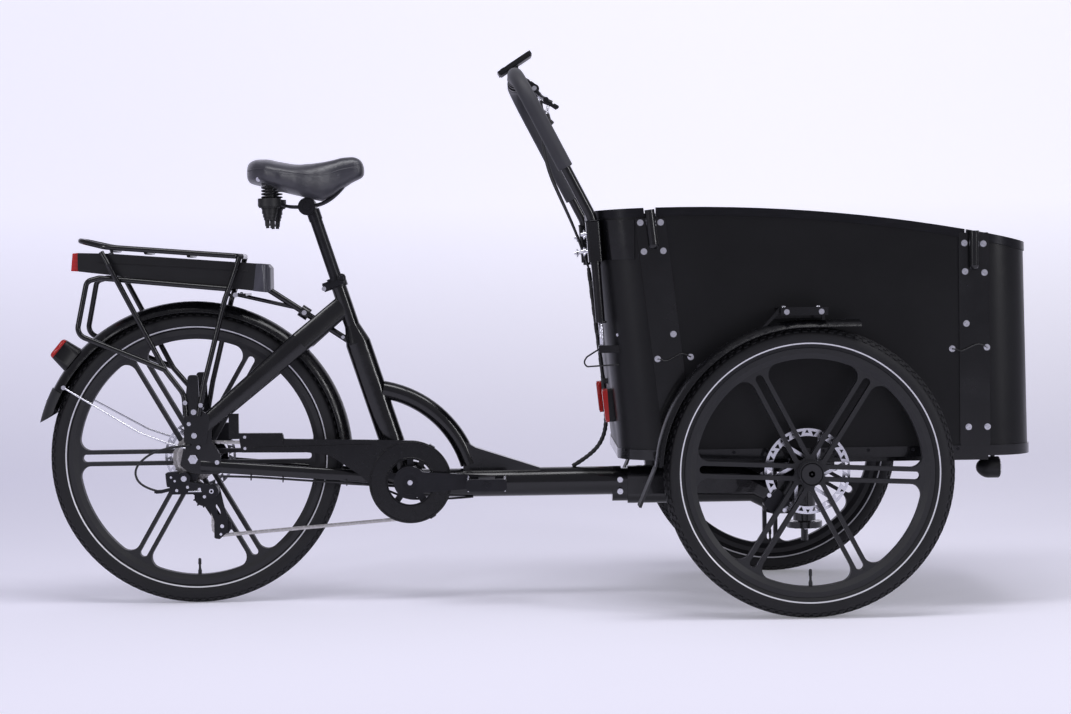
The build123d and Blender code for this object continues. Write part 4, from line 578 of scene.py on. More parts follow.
def modelled_tyre(body, node_name, rubber, pitches):
    """A tyre in the space of its CAD node: a spun casing with its tread blocks, which turn with the wheel."""
    low, high = bottom(node_name), top(node_name)
    middle = (low + high) / 2
    radius, half = (high.z - low.z) / 2, (high.y - low.y) / 2
    centre_radius = radius - half
    casing = primitive("torus", major_radius=centre_radius, minor_radius=half - 0.0004, major_segments=160,
        minor_segments=36, location=middle, rotation=(pi / 2, 0, 0))
    settle()
    crown = centre_radius + half * 0.62
    pick(casing, "VERT", lambda vertex: hypot(vertex.co.x - middle.x, vertex.co.z - middle.z) > crown)
    bpy.ops.transform.shrink_fatten(value=-0.0022)
    mode("OBJECT")
    bpy.ops.object.shade_smooth()
    blocks = []
    step = 2 * pi / pitches
    length = step * radius
    for lean, shift, long, wide, tall in ((7, 0.0, 0.62, 0.0075, 0.0044), (-7, 0.5, 0.62, 0.0075, 0.0044),
            (24, 0.35, 0.66, 0.0070, 0.0046), (-24, 0.85, 0.66, 0.0070, 0.0046),
            (43, 0.05, 0.55, 0.0080, 0.0048), (-43, 0.55, 0.55, 0.0080, 0.0048)):
        outer = half - tall / 2 - 0.0002
        turn = shift * step
        spot = Vector((0, outer * sin(radians(lean)), centre_radius + outer * cos(radians(lean))))
        spot.rotate(Euler((0, turn, 0)))
        lug = block((long * length, wide, tall), (0, 0, 0), 0.0008, 1, (-radians(lean), 0, 0))
        lug.data.transform(placed(middle + spot, turn))
        blocks.append(lug)
    tread = join(blocks, "tread")
    spun(pitches, middle)
    return fit(join([casing, tread], node_name + "_modelled"), rubber, body, node_name)


rear_rubber = tyre_rubber("rear_tyre_rubber", rear_x, rear_z, 0.2905)
front_rubber = tyre_rubber("front_tyre_rubber", front_x, front_z, 0.2695)
modelled_tyre("rear_wheel", "rear_tyre", rear_rubber, 110)
for side, end in sides:
    modelled_tyre(f"front_wheel_{end}", f"front_tyre_{end}", front_rubber, 102)


# ---------------------------------------------------------------- Discs, sprockets and brakes
# Stamped stainless brake discs held on the hubs by six small screws, and a block of plated steel sprockets
# whose teeth stand out past the chain.
dress(steel, "rear_brake_disc", "front_disc_right", "front_disc_left")
for body, x, y, z, side in (("rear_wheel", rear_x, 0.0522, rear_z, 1),
        ("front_wheel_right", front_x, -0.3658, front_z, 1),
        ("front_wheel_left", front_x, 0.3658, front_z, -1)):
    heads = []
    for i in range(6):
        spot = (x + 0.0165 * cos(radians(60 * i)), y, z + 0.0165 * sin(radians(60 * i)))
        heads.append(turned(0.0034, 0.0010, spot, (0, side, 0), 12, (0.0006, 0.0006), (0.0008, -0.0007)))
    fit(join(heads, body + "_disc_screws"), steel, body)

# plating stays bright on the high spots while oil and road dirt darken the rest in small blotches
plated = worn("oiled_nickel_plated_steel", ("#c4c2c0", "#6e6b68"), (0.22, 0.55, 0.35, 0.7),
    (220.0, 5.0), more={"Metallic": 1.0})
dress(plated, "sprockets")
dress(black_alloy, "chainring")

chain_y, pitch = -0.047, 0.0127


def pitch_radius(teeth):
    return pitch / (2 * sin(pi / teeth))


def toothed_ring(name, x, y, z, radius, count, thickness, body):
    """The teeth of a sprocket as one ring of small tapered blocks on its rim."""
    tooth = block((0.0062, thickness * 0.9, 0.0052), (x, y, z + radius + 0.0018), 0)
    tip = max(face.center.z for face in tooth.data.polygons)
    pick(tooth, "FACE", lambda face: face.center.z == tip)
    bpy.ops.transform.resize(value=(0.38, 0.7, 1), center_override=(x, y, z + radius + 0.0044))
    spun(count, (x, y, z))
    tooth.name = name
    return fit(tooth, plated, body)


for place_in, teeth in enumerate((24, 21, 18, 16, 14)):
    toothed_ring(f"sprocket_teeth_{teeth}", rear_x, chain_y + (2 - place_in) * 0.0048, rear_z,
        pitch_radius(teeth) - 0.001, teeth, 0.0018, "rear_wheel")
crank_x, crank_z = rear_x + 0.477, 0.267
toothed_ring("chainring_teeth", crank_x, chain_y, crank_z, pitch_radius(40) - 0.001, 40, 0.0024, "crankset")


# ---------------------------------------------------------------- Chain
# A half-inch bicycle chain of nickel-plated plates and bushed rollers, riveted link by link. It runs from the
# chainring back over the sprockets and down through the two pulleys of the derailleur.
ring_pitch, sprocket_pitch, pulley_pitch = (pitch_radius(teeth) for teeth in (40, 18, 10))
guide_x, guide_z = rear_x + 0.017, 0.240
tension_x, tension_z = rear_x + 0.058, 0.175
chain_wheels = [(crank_x, crank_z, ring_pitch), (rear_x, rear_z, sprocket_pitch),
    (guide_x, guide_z, -pulley_pitch), (tension_x, tension_z, pulley_pitch)]
runs = []
for (ax, az, ra), (bx, bz, rb) in zip(chain_wheels, chain_wheels[1:] + chain_wheels[:1]):
    heading = atan2(bz - az, bx - ax) - asin((rb - ra) / hypot(bx - ax, bz - az))
    side = Vector((-sin(heading), 0, cos(heading)))
    runs.append((Vector((ax, 0, az)) - side * ra, Vector((bx, 0, bz)) - side * rb, heading))


def chain_places():
    """The place and heading of each link in turn, one pitch apart, along runs and round wheels."""
    spots, left = [], 0.0
    for i, (start, end, heading) in enumerate(runs):
        length = (end - start).length
        while left < length:
            spots.append((start.lerp(end, left / length), heading))
            left += pitch
        left -= length
        x, z, radius = chain_wheels[(i + 1) % 4]
        onward = runs[(i + 1) % 4][2]
        turn = (onward - heading) % (2 * pi) if radius > 0 else -((heading - onward) % (2 * pi))
        arc = abs(turn * radius)
        while left < arc:
            angle = heading + turn * left / arc
            side = Vector((-sin(angle), 0, cos(angle)))
            spots.append((Vector((x, 0, z)) - side * radius, angle))
            left += pitch
        left -= arc
    return spots


def chain_link(name, spread):
    """Two plates side by side on a roller, about the origin, along X."""
    plates = [block((0.0155, 0.0009, 0.0076), (0, y, 0), 0.0028, 2) for y in (-spread, spread)]
    roller = turned(0.0036, 0.0056, (-pitch / 2, -0.0028, 0), (0, 1, 0), 10)
    rivet = turned(0.0015, 0.0068, (-pitch / 2, -0.0034, 0), (0, 1, 0), 8)
    return join([*plates, roller, rivet], name)


link_pair = [chain_link("outer_link", 0.0029), chain_link("inner_link", 0.0018)]
links = []
for i, (spot, heading) in enumerate(chain_places()):
    mesh = link_pair[i % 2].data.copy()
    mesh.transform(placed(spot + Vector((0, chain_y, 0)), -heading))
    piece = bpy.data.objects.new("link", mesh)
    scene.collection.objects.link(piece)
    links.append(piece)
for pattern in link_pair:
    bpy.data.objects.remove(pattern)
# oil sits in the joints and dulls every other spot of the bright plating
chain_steel = worn("nickel_plated_chain_steel", ("#8d8a88", "#dcdad8"), (0.42, 0.22),
    (300.0, 4.0), more={"Metallic": 1.0})
fit(join(links, "chain_links"), chain_steel, "frame", "chain")


# ---------------------------------------------------------------- Derailleur
# A cast and anodised body on the frame's hanger, with a pressed cage that carries two toothed nylon pulleys.
# Its pivots are riveted and its limit screws are bright.
for name, x, z in (("guide_pulley", guide_x, guide_z), ("tension_pulley", tension_x, tension_z)):
    wheel = toothed_ring(name, x, chain_y, z, pulley_pitch - 0.0012, 10, 0.0022, "frame")
    wheel.data.materials[0] = nylon
screws = []
for x, y, z, radius in ((-0.020, -0.0905, 0.2845, 0.0062), (0.040, -0.0885, 0.256, 0.0058),
        (0.058, -0.054, 0.175, 0.0042), (0.020, -0.054, 0.241, 0.0036), (-0.048, -0.0905, 0.288, 0.0026),
        (-0.040, -0.0905, 0.280, 0.0026), (-0.036, -0.0905, 0.259, 0.0034), (-0.012, -0.0905, 0.266, 0.0034),
        (0.014, -0.0905, 0.261, 0.0034), (0.055, -0.054, 0.157, 0.0030)):
    screws.append(turned(radius, 0.0008, (rear_x + x, y, z), (0, -1, 0), 20, (radius * 0.12, 0.0009),
        (radius * 0.3, 0.0003), (radius * 0.12, -0.0010)))
spring = block((0.030, 0.003, 0.003), (rear_x + 0.004, -0.092, 0.2565), 0.0012, 3)
fit(join([*screws, spring], "derailleur_screws"), steel, "frame")
barrel = turned(0.0042, 0.014, (rear_x - 0.068, -0.0865, 0.257), (-1, 0, -0.05), 16, (0.0004, 0.0006),
    (0.0006, 0.003))
fit(join([barrel], "cable_adjuster"), black_alloy, "frame")


# ---------------------------------------------------------------- Crankset, pedals and chain guard
# Forged cranks with a bolt under a dished cap, on a hollow chain guard of glossy moulded plastic whose rim is
# thickened to a rib, and platform pedals with pinned treads.

# a polished mould leaves a mirror broken by slow sink marks, 60 mm across, and by handling dust
guard_plastic = worn("glossy_moulded_plastic", ("#070709", "#0e0e11"),
    (0.14, 0.34, 0.35, 0.75), (90.0, 6.0), (16.0, 1.0, 0.25, 0.002), {"Specular IOR Level": 0.35})
dress(guard_plastic, "chain_guard", "rear_mudguard", "front_mudguards")


def ring(name, radius, thickness, middle, way, material, body):
    """A round bead of a given thickness about a middle."""
    bead = primitive("torus", major_radius=radius, minor_radius=thickness, major_segments=72,
        minor_segments=10, location=middle, rotation=facing(way))
    bead.name = name
    settle()
    bpy.ops.object.shade_smooth()
    return fit(bead, material, body)


guard_y = -0.057
crank_middle = Vector((crank_x, guard_y, crank_z))
ring("guard_outer_rib", 0.0885, 0.0016, crank_middle, (0, -1, 0), guard_plastic, "frame")
ring("guard_inner_rib", 0.0535, 0.0016, crank_middle, (0, -1, 0), guard_plastic, "frame")
crease = block((0.262, 0.0020, 0.0024), (rear_x + 0.262, -0.0576, 0.350), 0.0009, 2, (0, radians(-0.5), 0))
step = block((0.0024, 0.0020, 0.040), (rear_x + 0.197, -0.0576, 0.357), 0.0009, 2)
fit(join([crease, step], "guard_crease"), guard_plastic, "frame")
screws = [turned(0.0034, 0.0008, (rear_x + 0.112, guard_y, z), (0, -1, 0), 16, (0.0005, 0.0007),
    (0.0012, -0.0008)) for z in (0.372, 0.347)]
fit(join(screws, "guard_screws"), steel, "frame")

for side, end in sides:
    face = side * 0.0755
    pedal_x = crank_x - side * 0.170
    cap = turned(0.0300, 0.0012, (crank_x, face - side * 0.0002, crank_z), (0, side, 0), 48,
        (0.0035, -0.0009), (0.010, 0.0008), (0.0030, 0.0022), (0.0016, -0.0014))
    bolt = turned(0.0056, 0.0018, (crank_x, face + side * 0.0006, crank_z), (0, side, 0), 24,
        (0.0008, 0.0012), (0.0016, -0.0014))
    eye = turned(0.0100, 0.0010, (pedal_x, face, crank_z), (0, side, 0), 24, (0.002, 0.0008))
    fit(join([cap, eye], f"crank_cap_{end}"), black_alloy, "crankset")
    fit(join([bolt], f"crank_bolt_{end}"), steel, "crankset")
    pins = [turned(0.0018, 0.0016, (pedal_x + dx, side * (0.0935 + 0.023 * i), crank_z + up * 0.013),
        (0, 0, up), 8) for dx in (-0.040, 0.040) for i in range(4) for up in (-1, 1)]
    fit(join(pins, f"pedal_{end}_pins"), steel, f"pedal_{end}")
    lid = turned(0.0085, 0.0016, (pedal_x, side * 0.1755, crank_z), (0, side, 0), 20, (0.0012, 0.0012),
        (0.003, -0.0010))
    fit(join([lid], f"pedal_{end}_cap"), black_alloy, f"pedal_{end}")


# ---------------------------------------------------------------- Saddle
# A wide moulded foam shell under black embossed vinyl, crowned across and dished along, with a sewn side
# panel, on two coil springs in moulded cups. The vinyl is soft and shows broad pale highlights.
vinyl, place = blank("embossed_black_vinyl")
# leather-grain cells about 1.6 mm across, with deeper pores between them
cells = cellular(vinyl, place, 620.0, "DISTANCE_TO_EDGE")
grain = ramp(vinyl, cells, 0.0, 1.0, 0.0, 0.18)
fold = bump(vinyl, grain, 0.28, 0.0003)
shade = noise(vinyl, place, 22.0, 3.0)
tone = between(vinyl, shade, "#1c1c24", "#2b2b35")
rub = ramp(vinyl, shade, 0.24, 0.38)
principled(vinyl, {"Base Color": tone, "Roughness": rub, "Normal": fold, "Sheen Weight": 0.12,
    "Specular IOR Level": 0.8})

saddle_back, saddle_nose = bottom("saddle").x, top("saddle").x
# along the saddle from its back: how far along, half width, top, and the lower edge of its sides
stations = ((0.00, 0.022, 0.966, 0.946), (0.03, 0.052, 0.982, 0.934), (0.10, 0.078, 0.9895, 0.929),
    (0.20, 0.099, 0.9895, 0.921), (0.30, 0.1035, 0.983, 0.914), (0.42, 0.090, 0.9775, 0.906),
    (0.54, 0.066, 0.9765, 0.897), (0.64, 0.048, 0.980, 0.8915), (0.72, 0.038, 0.984, 0.901),
    (0.80, 0.032, 0.9895, 0.919), (0.90, 0.028, 0.991, 0.935), (0.96, 0.022, 0.984, 0.942),
    (1.00, 0.010, 0.963, 0.950))


def saddle_at(along):
    """Half width, top and lower edge at a share of the saddle's length, eased between its stations."""
    for before, after in zip(stations, stations[1:]):
        if along <= after[0]:
            share = (along - before[0]) / (after[0] - before[0])
            ease = share * share * (3 - 2 * share) * 0.35 + share * 0.65
            return [a + (b - a) * ease for a, b in zip(before[1:], after[1:])]
    return stations[-1][1:]


def saddle_point(along, around):
    """A point of the saddle's skin: around is an angle up from its right edge, over the top to its left."""
    half, high, low = saddle_at(along)
    across, up = cos(around), sin(around)
    edge = low + (high - low) * 0.42
    y = half * copysign(abs(across) ** 0.80, across)
    if up > 0:
        dish = 0.0035 * (1 - abs(y / half)) * (1 if along < 0.5 else 0.2)
        z = edge + (high - edge) * up ** 0.72 - dish
    else:
        z = edge + (edge - low) * (-(abs(up) ** 0.55))
        y *= 1 - 0.14 * abs(up)
    reach = 1.022 * (along - 0.5) + 0.5
    return Vector((saddle_back + reach * (saddle_nose - saddle_back), y, z))


saddle_top = primitive("uv_sphere", segments=64, ring_count=56, radius=1, rotation=(0, pi / 2, 0))
saddle_top.name = "saddle_cover"
bpy.ops.object.transform_apply(rotation=True)
for vertex in saddle_top.data.vertices:
    along = min(1.0, max(0.0, 0.5 + asin(max(-1, min(1, vertex.co.x))) / pi))
    off_axis = hypot(vertex.co.y, vertex.co.z) > 1e-6
    vertex.co = saddle_point(along, atan2(vertex.co.z, vertex.co.y) if off_axis else 0)
edit_all()
bpy.ops.mesh.vertices_smooth(factor=0.5, repeat=3)
bpy.ops.mesh.normals_make_consistent(inside=False)
mode("OBJECT")
smooth = saddle_top.modifiers.new("smooth", "SUBSURF")
smooth.levels = smooth.render_levels = 1
bpy.ops.object.modifier_apply(modifier="smooth")
bpy.ops.object.shade_smooth()
fit(saddle_top, vinyl, "frame", "saddle")


def bead_along(name, points, thickness):
    """A thin rigid bead along a smooth line, made a mesh."""
    line = cable_curve(name, points, thickness)
    only(line)
    bpy.ops.object.convert(target="MESH")
    bead = bpy.context.object
    bead.name = name
    bpy.ops.object.shade_smooth()
    return bead


# the side panel is sewn on along a corded seam
seams = []
for side in (-1, 1):
    path = [saddle_point(0.04 + 0.90 * i / 24, radians(6 + 12 * sin(pi * i / 24))) for i in range(25)]
    seams.append(bead_along("seam", [Vector((p.x, side * (abs(p.y) - 0.0009), p.z)) for p in path], 0.0026))
fit(join(seams, "saddle_seam"), vinyl, "frame", "saddle")

# Bright rivets hold the base plate under the foam at the back.
rivets = []
for side in (-1, 1):
    spot = saddle_point(0.135, radians(-14))
    rivets.append(turned(0.0055, 0.0012, (spot.x, side * (abs(spot.y) - 0.0014), spot.z), (0, side, -0.12),
        24, (0.0008, 0.0012), (0.0020, -0.0008), (0.0006, 0.0004)))
fit(join(rivets, "saddle_rivets"), steel, "frame")

# Black coated coil springs stand in moulded cups that taper to pronged feet; wire rails run to the clamp.
spring_x, rail_z = rear_x + 0.177, 0.886
pieces, cups = [], []
for side in (-1, 1):
    y = side * 0.062
    coil = primitive("circle", vertices=10, radius=0.0019, location=(0.0165, 0, 0), rotation=(pi / 2, 0, 0))
    settle()
    screw = coil.modifiers.new("coil", "SCREW")
    screw.angle = 2 * pi * 6
    screw.screw_offset = 0.042
    screw.steps = screw.render_steps = 6 * 28
    screw.use_normal_calculate = True
    bpy.ops.object.modifier_apply(modifier="coil")
    mode("EDIT")
    bpy.ops.mesh.select_mode(type="EDGE")
    bpy.ops.mesh.select_all(action="DESELECT")
    bpy.ops.mesh.select_non_manifold()
    bpy.ops.mesh.edge_face_add()
    bpy.ops.mesh.select_all(action="SELECT")
    bpy.ops.mesh.normals_make_consistent(inside=False)
    mode("OBJECT")
    coil.data.transform(Matrix.Translation((spring_x, y, 0.8975)))
    bpy.ops.object.shade_smooth()
    pieces.append(coil)
    core = turned(0.0085, 0.046, (spring_x, y, 0.896), (0, 0, 1), 24)
    cup = turned(0.0255, 0.017, (spring_x, y, 0.8985), (0, 0, -1), 40, (0.0012, 0.0010), (-0.0010, 0.0006),
        (0.0010, 0.0020), (0.0050, 0.0030), (0.0015, 0.0100), (0.0020, 0.0080), (0.0020, 0.0060))
    prongs = [turned(0.0052, 0.016, (spring_x + dx, y, 0.854), (-dx * 12, 0, -1), 14, (0.0014, 0.0050))
        for dx in (-0.0062, 0.0062)]
    cups += [core, cup, *prongs]
fit(join(pieces, "saddle_springs"), coat, "frame", "saddle_frame")
clamp_x = spring_x + 0.079
rail = ((0.012, 0.062, 0.004), (0.030, 0.046, -0.004), (0.052, 0.026, -0.006), (0.079, 0.022, -0.005),
    (0.115, 0.019, 0), (0.153, 0.012, 0.028), (0.175, 0.008, 0.058))
rails = [bead_along("rail", [(spring_x + x, side * y, rail_z + z) for x, y, z in rail], 0.007)
    for side in (-1, 1)]
plate = block((0.060, 0.150, 0.004), (spring_x + 0.012, 0, 0.9415), 0.0015, 2)
head = turned(0.0195, 0.058, (clamp_x, 0.029, rail_z - 0.005), (0, -1, 0), 40, (0.0022, 0.0018),
    (0.0060, -0.0012), (0.0030, 0.0016))
post_way = Vector((-0.308, 0, 0.9514)).normalized()
post_radius = 0.0136
post_top = Vector((bottom("seat_post").x + post_radius * post_way.z, 0,
    top("seat_post").z + post_radius * post_way.x))
collar = turned(0.0152, 0.024, post_top, -post_way, 36, (0.0010, 0.0012))
neck = block((0.026, 0.034, 0.020), (clamp_x + 0.002, 0, rail_z - 0.014), 0.005, 3)
fit(join([*rails, head, collar, neck], "saddle_rails"), black_alloy, "frame", "saddle_frame")
fit(join([*cups, plate], "spring_cups"), nylon, "frame", "saddle_frame")
# The seat tube is pinched by a quick release: a band with a cam lever that folds back along it.
low, high = bottom("seat_clamp"), top("seat_clamp")
tip = turned(0.0050, 0.0024, (low.x + 0.006, low.y - 0.0002, 0.6975), (0, -1, 0), 20, (0.001, 0.0012),
    (0.002, -0.0010))
fit(join([tip], "quick_release_tip"), steel, "frame")
cam = ring("cam", 0.0078, 0.0018, Vector((high.x - 0.012, low.y - 0.0010, 0.7215)), (0, -1, 0), black_alloy,
    "frame")
heel = turned(0.0050, 0.0030, (high.x - 0.012, low.y - 0.0002, 0.7215), (0, -1, 0), 20, (0.0010, 0.0008))
fit(join([cam, heel], "quick_release_cam"), black_alloy, "frame")


# ---------------------------------------------------------------- Rack, battery and rear lights
# A battery of textured ABS slides under the tubular rack, closed in front by a grey painted cap and behind by
# a red tail light, with its lock on the left side; a second lamp stands on the mudguard.

# the mould is spark-eroded: grains of about 1.2 mm that keep the plastic from shining
case = worn("spark_textured_abs", ("#0a0a0c", "#131316"), (0.34, 0.5), (25.0, 4.0),
    (850.0, 2.0, 0.3, 0.0002), {"Specular IOR Level": 0.35})
dress(case, "battery", "display", "headlamp")

# flakes of about 2 mm in the grey paint catch the light
grey_cap = worn("painted_grey_abs", ("#34343b", "#4a4a52"), (0.28, 0.42), (500.0, 3.0),
    more={"Metallic": 0.2})


def slice_of(name, source, at, way, grow):
    """The part of a CAD piece's skin past a plane, closed and grown a little, as a piece of its own."""
    piece = bpy.data.objects.new(name, nodes[source].data.copy())
    scene.collection.objects.link(piece)
    only(piece)
    edit_all()
    bpy.ops.mesh.remove_doubles(threshold=0.00001)
    bpy.ops.mesh.bisect(plane_co=at, plane_no=way, clear_inner=True, use_fill=True)
    bpy.ops.mesh.select_all(action="SELECT")
    bpy.ops.mesh.normals_make_consistent(inside=False)
    bpy.ops.transform.shrink_fatten(value=grow)
    mode("OBJECT")
    smooth_by(30)
    return piece


nose = top("battery").x
cap = slice_of("battery_end_cap", "battery", (nose - 0.034, 0, 0.72), (1, 0, -0.12), 0.0007)
fit(cap, grey_cap, "frame")
grooves = [block((0.330, 0.0012, 0.0022), (nose - 0.214, side * 0.0502, 0.751), 0.0005, 1,
    (0, radians(4.2), 0)) for side in (-1, 1)]
latch = block((0.026, 0.0030, 0.010), (nose - 0.054, 0.0505, 0.706), 0.0014, 3)
fit(join([*grooves, latch], "battery_ribs"), case, "frame")
lock = turned(0.0052, 0.0016, (nose - 0.052, 0.0503, 0.726), (0, 1, 0), 28, (0.0010, 0.0008),
    (0.0020, -0.0006))
fit(join([lock], "battery_lock"), steel, "frame")

lens, place = blank("moulded_red_acrylic")
spread = node(lens, "ShaderNodeSeparateXYZ", {0: place})
# prisms moulded inside the lens, 3 mm apart, make a fine bump, and their bright and dark lines are painted
# highlights and painted shade in the red
over = maths(lens, "MULTIPLY", spread.outputs["Y"], 2 * pi / 0.003)
up = maths(lens, "MULTIPLY", spread.outputs["Z"], 2 * pi / 0.003)
wave_over = maths(lens, "SINE", over)
wave_up = maths(lens, "SINE", up)
prism = maths(lens, "MULTIPLY", wave_over, wave_up)
facets = bump(lens, prism, 0.6, 0.0004)
# painted glints: the red is lighter along the prism crests and darker between them
painted_prism_glint = ramp(lens, prism, 0.0, 1.0, -1.0, 1.0)
tone = between(lens, painted_prism_glint, "#8f1210", "#c4221c")
principled(lens, {"Base Color": tone, "Roughness": 0.12, "Normal": facets})

# The battery's light is red all over; the mudguard's is a black housing with a red lens that looks back.
tail = slice_of("tail_light", "rear_lights", (0, 0, 0.70), (0, 0, 1), 0.0)
fit(tail, lens, "frame", "rear_lights")


def toward(angle):
    """The direction at an angle in degrees above +X, in the plane of the wheels."""
    return Vector((cos(radians(angle)), 0, sin(radians(angle))))


guard_middle = Vector((rear_x - 0.005, 0, rear_z - 0.005))
lamp_way = toward(140)
lamp_spot = guard_middle + lamp_way * 0.353
for name, material, reach, side in (("rear_lamp_housing", case, 0.034, "clear_outer"),
        ("rear_lamp_lens", lens, 0.0344, "clear_inner")):
    part = slice_of(name, "rear_lights", (0, 0, 0.70), (0, 0, -1), 0.0)
    fit(part, material, "frame", "rear_lights")
    only(part)
    edit_all()
    bpy.ops.mesh.bisect(plane_co=lamp_spot + lamp_way * reach, plane_no=lamp_way, use_fill=True,
        **{side: True})
    mode("OBJECT")

# Domed screws hold the rack's legs and the strut's clamps, and black nylon ties bind the cable to the frame.
screws = []
for x, y, z, radius in ((-0.014, -0.0905, 0.452, 0.005), (0.020, -0.0890, 0.446, 0.005),
        (0.098, -0.0622, 0.687, 0.0055), (0.098, 0.0622, 0.687, 0.0055), (0.245, -0.0142, 0.645, 0.0055),
        (0.245, 0.0142, 0.645, 0.0055), (0.330, -0.0075, 0.589, 0.0040)):
    screws.append(turned(radius, 0.0012, (rear_x + x, y, z), (0, copysign(1, y), 0), 20,
        (radius * 0.12, 0.0012), (radius * 0.25, 0.0006), (radius * 0.2, -0.0012)))
fit(join(screws, "rack_screws"), steel, "frame")
for i, (x, y, z) in enumerate(((0.500, -0.0185, 0.2262), (0.335, -0.0372, 0.2670), (0.265, -0.0466, 0.2712),
        (0.195, -0.0550, 0.2785), (0.125, -0.0612, 0.2845))):
    ring(f"cable_tie_{i}", 0.0078, 0.0010, Vector((rear_x + x, y, z)), (1, 0, -0.04), nylon, "frame")


# ---------------------------------------------------------------- Rear mudguard and flap
# The mudguard is glossy plastic over sheet metal with rolled edges; a ribbed rubber flap is riveted to it
# and wire stays hold it by small bright eyes.
def arc_bead(name, angle_from, angle_to, radius, y, thickness):
    """A rolled edge along a mudguard of the rear wheel, between two angles above +X."""
    steps = 28
    middle = guard_middle + Vector((0, y, 0))
    angles = [angle_from + (angle_to - angle_from) * i / steps for i in range(steps + 1)]
    return bead_along(name, [middle + radius * toward(angle) for angle in angles], thickness)


edges = [arc_bead("edge", -1.5, 159.5, 0.3298, side * 0.0298, 0.0030) for side in (-1, 1)]
fit(join(edges, "rear_mudguard_edges"), guard_plastic, "frame")
# road dust greys the rubber in drifts; a fine moulded texture under it keeps it matt
flap_rubber = worn("moulded_black_rubber", ("#101012", "#222226"), (0.42, 0.68), (45.0, 7.0),
    (900.0, 2.0, 0.3, 0.0002))
dress(flap_rubber, "rear_mudflap", "front_mudflaps")
rivets = []
for angle, y in ((154.2, -0.017), (154.2, 0.017), (157.6, 0.0)):
    way = toward(angle)
    spot = guard_middle + Vector((0, y, 0)) + way * (0.3555 - 2.6 * abs(y) ** 1.4)
    rivets.append(turned(0.0042, 0.0010, spot - way * 0.0006, way, 16, (0.0008, 0.0009), (0.0012, 0.0003)))
eye = guard_middle + 0.330 * toward(150)
for side in (-1, 1):
    rivets.append(turned(0.0050, 0.0030, (eye.x, side * 0.0300, eye.z), (0, side, 0), 18, (0.0008, 0.0008),
        (0.0014, -0.0006)))
fit(join(rivets, "mudguard_rivets"), steel, "frame")


# ---------------------------------------------------------------- Cargo box
# Panels of plywood faced with black phenolic film, bent round the corners, framed by a dark anodised edge
# profile above and a steel rim below. The film is satin, with a cool pale sheen where it turns the corner.
film, place = blank("phenolic_film_on_plywood")
# pressing leaves slow clouds of sheen and a fine cross-hatched texture drawn 2 mm apart
cloud = noise(film, place, 3.2, 5.0)
long_way = stretched(film, place, (1.0, 1.0, 14.0))
fibre = noise(film, long_way, 38.0, 5.0)
weave = noise(film, place, 500.0, 2.0)
telegraph = bump(film, fibre, 0.10, 0.0006)
surface = bump(film, weave, 0.22, 0.0002, telegraph)
tone = between(film, cloud, "#060607", "#0d0d10")
satin = ramp(film, cloud, 0.30, 0.46, 0.3, 0.7)
principled(film, {"Base Color": tone, "Roughness": satin, "Specular IOR Level": 0.3, "Normal": surface})
dress(film, "box_sides", "box_back", "box_front", "box_floor")

# extrusion lines run along the profile, drawn 2 mm apart
profile = worn("dark_anodised_profile", ("#101013", "#1e1e23"), (0.22, 0.42), (500.0, 3.0),
    more={"Metallic": 0.6}, stretch=(0.05, 0.05, 1.0))
dress(profile, "box_trim")

# Domed stainless bolts with sockets hold the straps and panels on both sides; a cup washer sits under each.
box_y, strap_y = 0.305, 0.308
strap_bolts = ((0.981, 0.829), (1.024, 0.829), (0.988, 0.768), (1.029, 0.769), (1.048, 0.593), (1.014, 0.541),
    (1.665, 0.776), (1.705, 0.774), (1.666, 0.716), (1.707, 0.713), (1.668, 0.606), (1.711, 0.555),
    (1.671, 0.387), (1.711, 0.387))
panel_bolts = ((1.084, 0.544), (1.638, 0.553))
bolts = []
for spots, face in ((strap_bolts, strap_y), (panel_bolts, box_y)):
    for x, z in spots:
        for side in (-1, 1):
            spot = (rear_x + x, side * (face - 0.0002), z)
            washer = turned(0.0068, 0.0008, spot, (0, side, 0), 24, (0.0008, 0.0003))
            dome = turned(0.0056, 0.0012, (spot[0], side * (face + 0.0006), z), (0, side, 0), 24,
                (0.0005, 0.0013), (0.0010, 0.0010), (0.0012, 0.0005), (0.0006, -0.0020))
            bolts += [washer, dome]
corner_way = Vector((-cos(radians(40)), -sin(radians(40)), 0))
corner_screw = Vector((back_x(0.592) + 0.1, -0.205, 0.592)) + corner_way * 0.0998
bolts.append(turned(0.0036, 0.0008, corner_screw, corner_way, 20, (0.0006, 0.0008), (0.0012, -0.0006)))
fit(join(bolts, "box_bolts"), steel, "front_unit")

# A short elastic loop hangs from two bolts on each strap, for the cover to be hooked on.
for name, from_x, from_z, to_x, to_z in (("back", 1.014, 0.541, 1.084, 0.544),
        ("front", 1.638, 0.553, 1.711, 0.555)):
    for side, end in sides:
        first, last = rear_x + from_x, rear_x + to_x
        loop = ((first, 0.0015, from_z), (first + 0.008, 0.0055, from_z - 0.001),
            (first + 0.016, 0.0065, from_z - 0.006), (first + 0.032, 0.0070, from_z + 0.001),
            (last - 0.022, 0.0070, to_z + 0.008), (last - 0.010, 0.0060, to_z + 0.006), (last, 0.0015, to_z))
        smooth_cord(f"elastic_loop_{name}_{end}", [(x, side * (strap_y + out), z) for x, out, z in loop],
            0.0028, "front_unit", "medium")

# Small black screws hold the steel rim, along both sides and across the front.
screws = []
for i in range(7):
    for side in (-1, 1):
        screws.append(turned(0.0038, 0.0008, (0.345 + 0.095 * i, side * 0.3088, 0.341), (0, side, 0), 16,
            (0.0006, 0.0009), (0.0012, -0.0008)))
for y in (-0.14, 0.0, 0.14):
    screws.append(turned(0.0038, 0.0008, (1.0832, y, 0.341), (1, 0, 0), 16, (0.0006, 0.0009),
        (0.0012, -0.0008)))
fit(join(screws, "rim_screws"), black_alloy, "front_unit")

